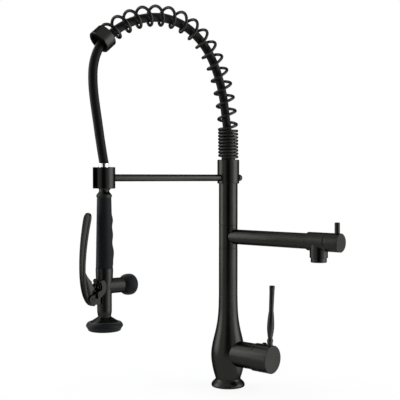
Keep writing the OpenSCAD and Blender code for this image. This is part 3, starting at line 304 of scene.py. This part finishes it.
# %% Spin outlines
SPRAYER_REACH, STEM_Z = 206.5, 164.5
at_sprayer = Matrix.Translation((0, -SPRAYER_REACH * MM, 0))
along_stem = (Matrix.Translation((0, -SPRAYER_REACH * MM, STEM_Z * MM))
              @ Matrix.Rotation(math.radians(-90), 4, "X"))


def spin(name, outline, place, sides=96, wave=None):
    """Turns an outline of (radius, height) millimetres. wave(angle, height) adds to the radius."""
    rings = []
    for radius, height in outline:
        ring = []
        for k in range(sides):
            a = 2 * math.pi * k / sides
            r = (radius + (wave(a, height) if wave else 0)) * MM
            ring.append(place @ Vector((r * math.cos(a), r * math.sin(a), height * MM)))
        rings.append(ring)
    return skin(name, rings)


def dress(thing, body, slot, *replaced):
    """Sets the body a piece moves with and hides the CAD nodes it stands for. slot is not used."""
    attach(thing, body)
    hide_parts(*replaced)
    print(thing.name, "has", len(thing.data.vertices), "points")
    return thing


# %% [markdown]
# ## The bumper and the side cap
# A rubber bumper guards the rim of the spray cone, and a round rubber cap closes the side tube.
# Bevels on a cylinder would leave straight stretches between them. A smooth line through a few
# points leaves none, and moulded rubber has none. Both outlines start and end inside the metal
# piece that carries them, so no gap shows.

# %% Mould the bumper and the side cap
OUTLINE_STEPS = 5
bumper_outline = through(
    [(14.9, 108.2), (15.0, 106.0), (15.6, 105.0), (17.4, 104.8), (20.4, 104.8), (21.7, 105.2),
     (22.3, 106.2), (22.7, 107.3), (23.7, 108.9), (24.6, 110.3), (25, 111.7), (24.3, 113.9),
     (22.9, 115.6), (21.3, 116.4), (19.1, 116.5)], OUTLINE_STEPS)
bumper = dress(link(spin("bumper_rubber", bumper_outline, at_sprayer)),
               "sprayer", "black_rubber", "spray_bumper")
cap_outline = through(
    [(10.4, 29.0), (10.4, 27.3), (10.9, 27.0), (11.9, 28.1), (13.5, 30.4), (14.3, 33.4),
     (14.6, 36.7), (14.4, 39.9), (13.6, 42.5), (12.1, 44.8), (9.6, 46.8), (6.1, 48.1),
     (3.6, 48.5), (0.1, 48.5)], OUTLINE_STEPS)
side_cap = dress(link(spin("side_cap_rubber", cap_outline, along_stem)),
                 "sprayer", "black_rubber", "side_cap")

# %% [markdown]
# ## The rubber grip
# The grip is round in front and has finger ridges on the side towards the column. The ridges rise
# and fall along the grip, and fade out round its sides. They could be sculpted, but a list of
# how far each one rises is easier to change.

# %% Mould the grip
GRIP_Z, GRIP_HEIGHT, GRIP_BORE = 189, 95, 8
GRIP_FOOT, GRIP_TOP, GRIP_RINGS = 11.5, 9.75, 110
RIDGE_RISE, RIDGE_STEPS = 2.2, 12


def eased(stations, steps):
    """Joins (height, radius) stations by smooth steps and gives (radius, height) points."""
    line = []
    for (h0, r0), (h1, r1) in zip(stations, stations[1:]):
        for t in (k / steps for k in range(steps)):
            line.append((r0 + (r1 - r0) * (1 - math.cos(math.pi * t)) / 2, h0 + (h1 - h0) * t))
    return line + [(stations[-1][1], stations[-1][0])]


ridge_line = eased([(0, 0), (0.08, 0.35), (0.22, 1), (0.36, 0.1), (0.475, 0.65), (0.587, 0.15),
                    (0.68, 0.8), (0.79, 0), (1, 0)], RIDGE_STEPS)
ridge_heights, ridge_shares = [p[1] for p in ridge_line], [p[0] for p in ridge_line]


def finger_ridge(angle, height):
    """How far a ridge stands out at this angle and height, in millimetres."""
    share = np.interp((height - GRIP_Z) / GRIP_HEIGHT, ridge_heights, ridge_shares)
    return RIDGE_RISE * share * max(0, math.sin(angle)) ** 2


grip_outline = [(GRIP_BORE, 0), (GRIP_FOOT - 0.7, 0), (GRIP_FOOT - 0.2, 0.25), (GRIP_FOOT, 0.8)]
grip_outline += [(GRIP_FOOT + (GRIP_TOP - GRIP_FOOT) * h / GRIP_HEIGHT, h)
                 for h in np.linspace(1.6, GRIP_HEIGHT - 1, GRIP_RINGS)]
grip_outline += [(GRIP_TOP - 0.25, GRIP_HEIGHT - 0.3), (GRIP_TOP - 0.8, GRIP_HEIGHT),
                 (GRIP_BORE, GRIP_HEIGHT)]
grip_outline = [(r, GRIP_Z + h) for r, h in grip_outline]
grip = dress(link(spin("grip_rubber", grip_outline, at_sprayer, wave=finger_ridge)),
             "sprayer", "black_rubber", "grip_sleeve")

# %% [markdown]
# ## The handle's lever
# The lever is turned from one bar: a foot with a groove, a long swelling, a slim rod and a flat
# tip. It leans outwards a little. The loops of a cylinder could be scaled by hand, but a lathe
# follows an outline, so this does too. The swelling is half a sine wave, which has no corner.

# %% Turn the lever
SIDE_TURN, LEVER_LEAN = math.radians(16), math.radians(2.4)
LEVER_REACH, LEVER_FOOT_Z, LEVER_SIDES = 76.1, 68.8, 48
SLIM, SWELL, SWELL_STEP = 3.35, 1.8, 0.3
SWELL_START, SWELL_PEAK, SWELL_END, LEVER_LENGTH = 12.6, 28.6, 50, 87.7
QUARTER, FIRST_STEP = math.pi / 2, 0.12
RISE_POINTS, FALL_POINTS = 12, 14
at_lever = (Matrix.Rotation(SIDE_TURN, 4, "Z")
            @ Matrix.Translation((LEVER_REACH * MM, 0, LEVER_FOOT_Z * MM))
            @ Matrix.Rotation(LEVER_LEAN, 4, "Y"))
lever_outline = eased([(0, 4.3), (4.4, 3.95), (8.0, 4.5), (SWELL_START, SLIM)], 8)
lever_outline += [(SLIM + SWELL * math.sin(a),
                   SWELL_START + (SWELL_PEAK - SWELL_START) * a / QUARTER)
                  for a in np.linspace(FIRST_STEP, QUARTER, RISE_POINTS)]
lever_outline += [(SLIM + SWELL_STEP + (SWELL - SWELL_STEP) * math.sin(a),
                   SWELL_PEAK + (SWELL_END - SWELL_PEAK) * (a / QUARTER - 1))
                  for a in np.linspace(QUARTER + FIRST_STEP, math.pi, FALL_POINTS)]
lever_outline += eased([(50.9, SLIM), (70.2, SLIM + 0.15), (79.8, SLIM + 0.27),
                        (85.5, SLIM + 0.63)], 6)
lever_outline += [(SLIM + 0.65, LEVER_LENGTH - 0.7), (SLIM + 0.58, LEVER_LENGTH - 0.4),
                  (SLIM + 0.35, LEVER_LENGTH - 0.15), (SLIM, LEVER_LENGTH), (0.1, LEVER_LENGTH)]
lever = dress(link(spin("lever_turned", lever_outline, at_lever, LEVER_SIDES)),
              "handle", "black_metal", "handle_lever")

# %% [markdown]
# ## The trigger
# The trigger is a bent strip with a web behind its foot. A curve object with a bevel could bend a
# strip, but it would keep one width, and this one is wide at its round tip and narrower at the
# foot. So a rounded rectangle of the right width stands at each point of the curve. They stand
# closer at the tip, where the width changes fast.

# %% Shape the strip
STRIP_LINE = [np.array(p) for p in ((-23.05, 264.8), (-34.75, 215.07), (-37.5, 154.07),
                                    (-20.4, 141.6))]
STRIP_THICKNESS, CORNER_RADIUS = 4.2, 0.9
TIP_WIDTH, WAIST_WIDTH, FOOT_WIDTH = 18, 12.6, 10.8
TIP_TOP, WAIST_Z, FOOT_Z = 264.3, 194, 138.2
TIP_MIDDLE = TIP_TOP - TIP_WIDTH / 2
LEAST_SQUARE = 0.3


def half_width(z):
    """Half the strip's width at height z: a round tip, a waist and a foot."""
    if z > TIP_MIDDLE:
        return math.sqrt(max((TIP_WIDTH / 2) ** 2 - (z - TIP_MIDDLE) ** 2, LEAST_SQUARE))
    return np.interp(z, (FOOT_Z, WAIST_Z, TIP_MIDDLE), (FOOT_WIDTH, WAIST_WIDTH, TIP_WIDTH)) / 2


def rounded_section(half_x, half_n, radius, steps=4):
    """Points round a rectangle with round corners, as (across, through the thickness)."""
    points = []
    for cx, cn, start in ((1, 1, 0), (-1, 1, 90), (-1, -1, 180), (1, -1, 270)):
        for k in range(steps + 1):
            a = math.radians(start + 90 * k / steps)
            points.append((cx * (half_x - radius) + radius * math.cos(a),
                           cn * (half_n - radius) + radius * math.sin(a)))
    return points


print("strip's half width at the foot and the waist:", half_width(FOOT_Z), half_width(WAIST_Z))

# %% Bend the strip
TIP_SHARES, REST_SHARES = np.linspace(0.004, 0.05, 18), np.linspace(0.06, 1, 72)
SHARE_NEARBY = 0.01
THIN_TIP, THIN_RUN = 0.55, 3


def sprayer_point(x, y, z):
    """A point in millimetres from the sprayer's axis."""
    return Vector((x * MM, (y - SPRAYER_REACH) * MM, z * MM))


strip_rings = []
for t in (*TIP_SHARES, *REST_SHARES):
    middle = cubic(STRIP_LINE, t)
    way = (cubic(STRIP_LINE, min(t + SHARE_NEARBY, 1))
           - cubic(STRIP_LINE, max(t - SHARE_NEARBY, 0)))
    way /= np.linalg.norm(way)
    normal = np.array([-way[1], way[0]])
    half = half_width(middle[1])
    thick = STRIP_THICKNESS / 2 * min(1, THIN_TIP + (TIP_TOP - middle[1]) / THIN_RUN)
    strip_rings.append([sprayer_point(x, *(middle + n * normal)) for x, n in
                        rounded_section(half, thick, min(CORNER_RADIUS, half * 0.9))])
trigger = link(skin("trigger_bent", strip_rings))
print("strip:", len(strip_rings), "rings")

# %% [markdown]
# ## The trigger's web
# The web is a flat plate between the strip and the pivot, whose round nose presses on the valve's
# stem. A Boolean could cut it from a block, but an outline of arcs and a hollow gives cleaner
# edges. The outline is extruded, and its edges are bevelled, as a cast piece has them. Then it
# joins the strip, because they are one casting.

# %% Make plates and arcs
BEVEL_ANGLE = math.radians(50)


def plate(name, outline, half_x, edge):
    """A flat outline of (y, z) points at the sprayer, with thickness and rounded edges."""
    work = bmesh.new()
    face = work.faces.new([work.verts.new(sprayer_point(-half_x, y, z)) for y, z in outline])
    moved = bmesh.ops.extrude_face_region(work, geom=[face])["geom"]
    bmesh.ops.translate(work, vec=(2 * half_x * MM, 0, 0),
                        verts=[v for v in moved if isinstance(v, bmesh.types.BMVert)])
    bmesh.ops.recalc_face_normals(work, faces=work.faces)
    sharp = [e for e in work.edges if e.is_manifold and e.calc_face_angle() > BEVEL_ANGLE]
    bmesh.ops.bevel(work, geom=sharp, offset=edge * MM, segments=3, affect="EDGES", profile=0.5)
    mesh = bpy.data.meshes.new(name)
    work.to_mesh(mesh)
    work.free()
    return mesh


def arc(centre, radius, start, end, steps):
    """Points round a centre from one angle to another, in degrees."""
    angles = [math.radians(start + (end - start) * k / steps) for k in range(steps + 1)]
    return [(centre[0] + radius * math.cos(a), centre[1] + radius * math.sin(a)) for a in angles]


# %% Cast the web
PIVOT = np.array([-20.5, 149.0])
NOSE = np.array([-21.0, STEM_Z - 2])
HEEL = PIVOT + np.array([2.3, -6.1])
WEB_HALF, WEB_BEVEL = 4.9, 0.5
hollow = through([tuple(NOSE + way) for way in (
    (-12.1, 31.3), (-9.6, 24.5), (-8.6, 22), (-6.8, 18.5), (-4.4, 15), (-1.8, 12), (-0.2, 10.6),
    (0.2, 8.6), (1.4, 5))], 4)
back = [cubic(STRIP_LINE, t) for t in np.linspace(0.93, 0.5, 16)]
web_outline = [*hollow, *arc(NOSE, 4, 62, -42, 10), *arc(PIVOT, 5.8, 12, -60, 8),
               *arc(HEEL, 3.4, 10, -150, 10), *back]
web = link(plate("trigger_web", web_outline, WEB_HALF, WEB_BEVEL))
both = [trigger, web]
with bpy.context.temp_override(active_object=trigger, selected_editable_objects=both,
                               object=trigger, selected_objects=both):
    bpy.ops.object.join()
dress(trigger, "trigger", "black_metal", "trigger_lever")

# %% [markdown]
# ## White all round
# The faucet stands on a plain white floor in front of white. More light could burn a grey wall
# to white, but it would bleach the faucet too. Instead the world has two colours: what the
# camera, a mirror or glass sees is white, and what lights the faucet is a softer grey.

# %% Add nodes
def new_material(name):
    """A material without nodes, and its empty tree."""
    material = bpy.data.materials.new(name)
    material.use_nodes = True
    material.node_tree.nodes.clear()
    return material, material.node_tree


def add(tree, kind, values=None, **settings):
    """Adds a node, with settings on the node and values on its sockets."""
    node = tree.nodes.new(kind)
    for key, value in settings.items():
        setattr(node, key, value)
    for key, value in (values or {}).items():
        node.inputs[key].default_value = value
    return node


def seen_directly(tree):
    """1 for what the camera sees itself, in a mirror or through glass, and 0 for light."""
    path = add(tree, "ShaderNodeLightPath")
    first = add(tree, "ShaderNodeMath", operation="ADD")
    second = add(tree, "ShaderNodeMath", operation="ADD", use_clamp=True)
    tree.links.new(path.outputs["Is Camera Ray"], first.inputs[0])
    tree.links.new(path.outputs["Is Glossy Ray"], first.inputs[1])
    tree.links.new(first.outputs[0], second.inputs[0])
    tree.links.new(path.outputs["Is Transmission Ray"], second.inputs[1])
    return second.outputs[0]


# %% Make the world white
scene = bpy.context.scene
scene.view_settings.view_transform = "Standard"
world = bpy.data.worlds.new("studio")
scene.world = world
world.use_nodes = True
world.node_tree.nodes.clear()
tree = world.node_tree
lit = add(tree, "ShaderNodeBackground", {"Color": (0.48, 0.485, 0.50, 1), "Strength": 1})
white = add(tree, "ShaderNodeBackground", {"Color": (1, 1, 1, 1), "Strength": 1})
mix = add(tree, "ShaderNodeMixShader")
output = add(tree, "ShaderNodeOutputWorld")
tree.links.new(seen_directly(tree), mix.inputs[0])
tree.links.new(lit.outputs[0], mix.inputs[1])
tree.links.new(white.outputs[0], mix.inputs[2])
tree.links.new(mix.outputs[0], output.inputs[0])
print("world:", world.name)

# %% [markdown]
# ## The floor
# The floor is white paint that also glows for the camera, so that it meets the white world
# without a line. A shadow catcher could do that too, but its picture has a clear background that
# has to be laid on white afterwards. Near the faucet the floor glows less, so that the faucet's
# shadow stays.

# %% Lay the floor
FLOOR_HALF = 4
floor_material, tree = new_material("white_floor")
paint = add(tree, "ShaderNodeBsdfPrincipled", {"Base Color": (0.86, 0.86, 0.86, 1),
                                               "Roughness": 0.9})
glow = add(tree, "ShaderNodeEmission", {"Color": (1, 1, 1, 1), "Strength": 1})
place = add(tree, "ShaderNodeTexCoord")
distance = add(tree, "ShaderNodeVectorMath", operation="LENGTH")
near = add(tree, "ShaderNodeMapRange", {"From Min": 0.05, "From Max": 0.6,
                                        "To Min": 0.86, "To Max": 1})
share = add(tree, "ShaderNodeMath", operation="MULTIPLY")
mix = add(tree, "ShaderNodeMixShader")
output = add(tree, "ShaderNodeOutputMaterial")
tree.links.new(place.outputs["Object"], distance.inputs[0])
tree.links.new(distance.outputs["Value"], near.inputs["Value"])
tree.links.new(seen_directly(tree), share.inputs[0])
tree.links.new(near.outputs[0], share.inputs[1])
tree.links.new(share.outputs[0], mix.inputs[0])
tree.links.new(paint.outputs[0], mix.inputs[1])
tree.links.new(glow.outputs[0], mix.inputs[2])
tree.links.new(mix.outputs[0], output.inputs[0])
corners = [(x * FLOOR_HALF, y * FLOOR_HALF, 0) for x, y in ((-1, -1), (1, -1), (1, 1), (-1, 1))]
floor = link(mesh_from("floor", corners, [(0, 1, 2, 3)]), floor_material)
print("floor:", 2 * FLOOR_HALF, "m wide")

# %% [markdown]
# ## Soft lights
# Dark satin metal shows its shape by what it mirrors, so its lights are wide and soft. A tall one
# stands on each side, one hangs behind the top, and a weak one lies low at the right for the end
# faces. Their places are given by the angle from the camera, as a photographer walks round.

# %% Find places round the faucet
MIDDLE = Vector((0.03, -0.09, 0.29))
to_right = Vector((math.cos(CAMERA_AZIMUTH), math.sin(CAMERA_AZIMUTH), 0))
to_camera = -Vector((away.x, away.y, 0)).normalized()


def around(degrees, distance, height=0.0):
    """A place round the faucet. 0 degrees is towards the camera, and 90 is to the right."""
    turn = math.radians(degrees)
    return (MIDDLE + distance * (math.cos(turn) * to_camera + math.sin(turn) * to_right)
            + Vector((0, 0, height)))


print("right of the camera is", [round(v, 2) for v in to_right])

# %% Place the lamps
LAMP_DISTANCE = 1.3


def softbox(name, place, aim, width, height, radiance):
    """A soft light that looks at aim. radiance is how bright it looks; plain white is 1."""
    data = bpy.data.lights.new(name, "AREA")
    data.shape = "RECTANGLE"
    data.size = width
    data.size_y = height
    data.energy = radiance * math.pi * width * height
    lamp = bpy.data.objects.new(name, data)
    lamp.location = place
    lamp.rotation_euler = (aim - place).to_track_quat("-Z", "Y").to_euler()
    lamp.visible_camera = False
    bpy.context.collection.objects.link(lamp)
    print(name, "at", [round(v, 2) for v in place], round(data.energy, 1), "W")


softbox("left_softbox", around(-96, LAMP_DISTANCE), MIDDLE, width=0.9, height=1.9, radiance=4)
softbox("right_softbox", around(84, LAMP_DISTANCE), MIDDLE, width=1.15, height=1.9, radiance=4)
softbox("back_softbox", around(-140, LAMP_DISTANCE, height=1.15), MIDDLE,
        width=1.8, height=0.9, radiance=2.4)
low_right = around(92, 0.72, height=0.01 - MIDDLE.z)
softbox("low_right_softbox", low_right, low_right + Vector((0, 0, 1)),
        width=1, height=1, radiance=2.2)

# %% [markdown]
# ## Black cards
# Photographers put black cards round shiny things: where a curved side mirrors a card, it gets a
# crisp dark line. One card is behind the camera, one lies in front, and two stand at the back,
# where only the rims mirror them. Only reflections see the cards, so they throw no shadow and
# take no light from the faucet.

# %% Stand the cards
CARD_DISTANCE, CARD_UP = 1.4, Vector((0, 0, 0.28))
black_cloth, tree = new_material("black_cloth")
paint = add(tree, "ShaderNodeBsdfPrincipled", {"Base Color": (0.003, 0.003, 0.003, 1),
                                               "Roughness": 1, "Specular IOR Level": 0})
tree.links.new(paint.outputs[0], add(tree, "ShaderNodeOutputMaterial").inputs[0])


def black_card(name, middle, across, up):
    """A dark card out of the frame. across and up run from its middle to its edges."""
    corners = [middle + x * across + y * up for x, y in ((-1, -1), (1, -1), (1, 1), (-1, 1))]
    card = link(mesh_from(name, corners, [(0, 1, 2, 3)]), black_cloth)
    card.visible_camera = card.visible_diffuse = card.visible_shadow = False


black_card("card_behind_camera", around(0, 1.6, height=0.5),
           across=0.75 * to_right, up=Vector((0, 0, 0.79)))
black_card("card_on_floor", Vector((MIDDLE.x, MIDDLE.y, 0.002)) + to_camera,
           across=0.5 * to_right, up=0.6 * to_camera)
for name, near_end, far_end in (("left_card", -122, -158), ("right_card", 122, 158)):
    ends = around(near_end, CARD_DISTANCE), around(far_end, CARD_DISTANCE)
    black_card(name, (ends[0] + ends[1]) / 2, (ends[1] - ends[0]) / 2, CARD_UP)

# %% [markdown]
# ## Shared surface effects
# Three effects are used by several finishes, so each is a node group with its own named inputs.
# Image textures could carry them, but noise has no seams and stays sharp at any size. Grain is
# the fine unevenness of a sprayed coat or of moulded rubber.

# %% Build the grain
FLOAT, COLOR = "NodeSocketFloat", "NodeSocketColor"


def new_group(name, inputs, outputs):
    """An empty node group. inputs gives each socket's kind and value, outputs its kind."""
    group = bpy.data.node_groups.new(name, "ShaderNodeTree")
    for label, (kind, value) in inputs.items():
        group.interface.new_socket(label, in_out="INPUT", socket_type=kind).default_value = value
    for label, kind in outputs.items():
        group.interface.new_socket(label, in_out="OUTPUT", socket_type=kind)
    return group, group.nodes.new("NodeGroupInput"), group.nodes.new("NodeGroupOutput")


grain, given, result = new_group("grain", {"Scale": (FLOAT, 1500), "Detail": (FLOAT, 2)},
                                 {"Height": FLOAT})
place = add(grain, "ShaderNodeTexCoord")
noise = add(grain, "ShaderNodeTexNoise", {"Roughness": 0.55})
grain.links.new(place.outputs["Object"], noise.inputs["Vector"])
grain.links.new(given.outputs["Scale"], noise.inputs["Scale"])
grain.links.new(given.outputs["Detail"], noise.inputs["Detail"])
grain.links.new(noise.outputs["Fac"], result.inputs["Height"])
print("group:", grain.name)

# %% [markdown]
# Mottle changes colour and roughness slowly over the surface, as handling and polishing do. One
# noise drives both, so that a lighter patch is also a rougher one.

# %% Build the mottle
mottle, given, result = new_group(
    "mottle", {"Scale": (FLOAT, 40), "Dark": (COLOR, (0, 0, 0, 1)), "Light": (COLOR, (1, 1, 1, 1)),
               "Smooth": (FLOAT, 0.3), "Rough": (FLOAT, 0.5)},
    {"Color": COLOR, "Roughness": FLOAT})
place = add(mottle, "ShaderNodeTexCoord")
noise = add(mottle, "ShaderNodeTexNoise", {"Detail": 4, "Roughness": 0.6})
spread = add(mottle, "ShaderNodeMapRange", {"From Min": 0.3, "From Max": 0.7})
mottle.links.new(place.outputs["Object"], noise.inputs["Vector"])
mottle.links.new(given.outputs["Scale"], noise.inputs["Scale"])
mottle.links.new(noise.outputs["Fac"], spread.inputs["Value"])
for kind, low_end, high_end, label in (("RGBA", "Dark", "Light", "Color"),
                                       ("FLOAT", "Smooth", "Rough", "Roughness")):
    mixer = add(mottle, "ShaderNodeMix", data_type=kind)
    sockets = [socket for socket in mixer.inputs if socket.enabled]
    mottle.links.new(spread.outputs[0], sockets[0])
    mottle.links.new(given.outputs[low_end], sockets[1])
    mottle.links.new(given.outputs[high_end], sockets[2])
    mixed = next(socket for socket in mixer.outputs if socket.enabled)
    mottle.links.new(mixed, result.inputs[label])
print("group:", mottle.name)

# %% [markdown]
# Turning marks are the fine rings that a lathe leaves on brass and steel. They could be cut into
# the mesh, but they are far finer than its faces. So they are bands of a wave along the piece's
# height, which only tilt the shading.

# %% Build the turning marks
turning, given, result = new_group("turning_marks", {"Scale": (FLOAT, 900)}, {"Height": FLOAT})
place = add(turning, "ShaderNodeTexCoord")
bands = add(turning, "ShaderNodeTexWave", {"Distortion": 0.6, "Detail": 1},
            wave_type="BANDS", bands_direction="Z")
turning.links.new(place.outputs["Object"], bands.inputs["Vector"])
turning.links.new(given.outputs["Scale"], bands.inputs["Scale"])
turning.links.new(bands.outputs["Fac"], result.inputs["Height"])
print("groups:", [g.name for g in bpy.data.node_groups])

# %% [markdown]
# ## The black finishes
# Each finish is one Principled shader. What is the same all over is set on its own socket. What
# changes over the surface comes from the groups: colour and roughness from mottle, the bump from
# grain or from turning marks.
# The coat on the metal is a satin black with a metal's shine. A plain black paint would be pale
# at its rims, where every surface mirrors more. The coat's grey Specular Tint takes that back, so
# its rims go dark and its end faces still show. Rubber mirrors little, and the hose is the
# blackest of the rubber pieces.

# %% Put a finish together
def finish_of(name, dark, light, smooth, rough, spots, bump=None, bump_scale=0, bump_height=0,
              **fixed):
    """A material. fixed sets the shader's own sockets, such as Metallic or Specular Tint."""
    material, tree = new_material(name)
    shader = add(tree, "ShaderNodeBsdfPrincipled", fixed)
    output = add(tree, "ShaderNodeOutputMaterial")
    tree.links.new(shader.outputs[0], output.inputs[0])
    patches = add(tree, "ShaderNodeGroup", node_tree=mottle)
    for key, value in (("Scale", spots), ("Dark", (*dark, 1)), ("Light", (*light, 1)),
                       ("Smooth", smooth), ("Rough", rough)):
        patches.inputs[key].default_value = value
    tree.links.new(patches.outputs["Color"], shader.inputs["Base Color"])
    tree.links.new(patches.outputs["Roughness"], shader.inputs["Roughness"])
    if bump:
        marks = add(tree, "ShaderNodeGroup", node_tree=bump)
        marks.inputs["Scale"].default_value = bump_scale
        relief = add(tree, "ShaderNodeBump", {"Strength": 1, "Distance": bump_height})
        tree.links.new(marks.outputs["Height"], relief.inputs["Height"])
        tree.links.new(relief.outputs["Normal"], shader.inputs["Normal"])
    print("finish:", name)
    return material


# %% Mix the black finishes
METAL = {"Metallic": 1.0}
DULL = {"Specular IOR Level": 0.08}
satin_black = finish_of("satin_black_coat", (0.0235, 0.0232, 0.0222), (0.0280, 0.0277, 0.0267),
                        0.28, 0.36, spots=25, bump=grain, bump_scale=2200, bump_height=0.000003,
                        **METAL, **{"Specular Tint": (0.36, 0.36, 0.36, 1)})
soft_rubber = finish_of("black_rubber", (0.0050, 0.0053, 0.0061), (0.0068, 0.0073, 0.0084),
                        0.50, 0.62, spots=60, bump=grain, bump_scale=1400, bump_height=0.00002,
                        **DULL)
hose_rubber = finish_of("black_hose_rubber", (0.0026, 0.0027, 0.0029), (0.0038, 0.0040, 0.0044),
                        0.42, 0.54, spots=60, bump=grain, bump_scale=1400, bump_height=0.00001,
                        **DULL)

# %% [markdown]
# ## The bright and hidden finishes
# The ferrule on the hose is the one bright piece that shows, and it is chrome, which is too smooth
# to need a bump. Brass, steel, white plastic and ceramic are inside or underneath, where a reader
# who takes the faucet apart finds them.

# %% Mix the other finishes
bright_chrome = finish_of("bright_chrome", (0.72, 0.73, 0.74), (0.78, 0.79, 0.80), 0.05, 0.10,
                          spots=80, **METAL)
turned_brass = finish_of("turned_brass", (0.55, 0.40, 0.16), (0.66, 0.50, 0.22), 0.28, 0.40,
                         spots=60, bump=turning, bump_scale=900, bump_height=0.00001, **METAL)
turned_steel = finish_of("turned_steel", (0.46, 0.47, 0.48), (0.58, 0.59, 0.60), 0.22, 0.34,
                         spots=60, bump=turning, bump_scale=1100, bump_height=0.000008, **METAL)
moulded_white = finish_of("moulded_white_plastic", (0.70, 0.70, 0.67), (0.78, 0.78, 0.75),
                          0.40, 0.50, spots=50, bump=grain, bump_scale=900, bump_height=0.00001)
ground_ceramic = finish_of("ground_ceramic", (0.66, 0.62, 0.54), (0.74, 0.70, 0.62), 0.20, 0.30,
                           spots=50, bump=grain, bump_scale=2500, bump_height=0.000005)

# %% [markdown]
# ## Every piece gets its finish
# The CAD record names a slot for each node, and each slot has one finish. The bush shows in the
# mouth of the spring's cap, so it is black like the hose that it guides.

# %% Dress every piece
SLOT_FINISH = {"black_metal": satin_black, "black_rubber": soft_rubber, "brass": turned_brass,
               "steel": turned_steel, "chrome": bright_chrome, "white_plastic": moulded_white,
               "ceramic": ground_ceramic}
slot_of = {s["node"]: s["material_slot"] for s in frame["record"]["subparts"]}
for name, thing in nodes.items():
    thing.data.materials.clear()
    thing.data.materials.append(SLOT_FINISH[slot_of[name]])
nodes["cap_bush"].data.materials[0] = hose_rubber
for finish, things in ((hose_rubber, [hose]), (turned_steel, [return_spring]),
                       (soft_rubber, [bumper, side_cap, grip]),
                       (satin_black, [spring, lever, trigger])):
    for thing in things:
        thing.data.materials.append(finish)
print("dressed", len(nodes), "nodes")
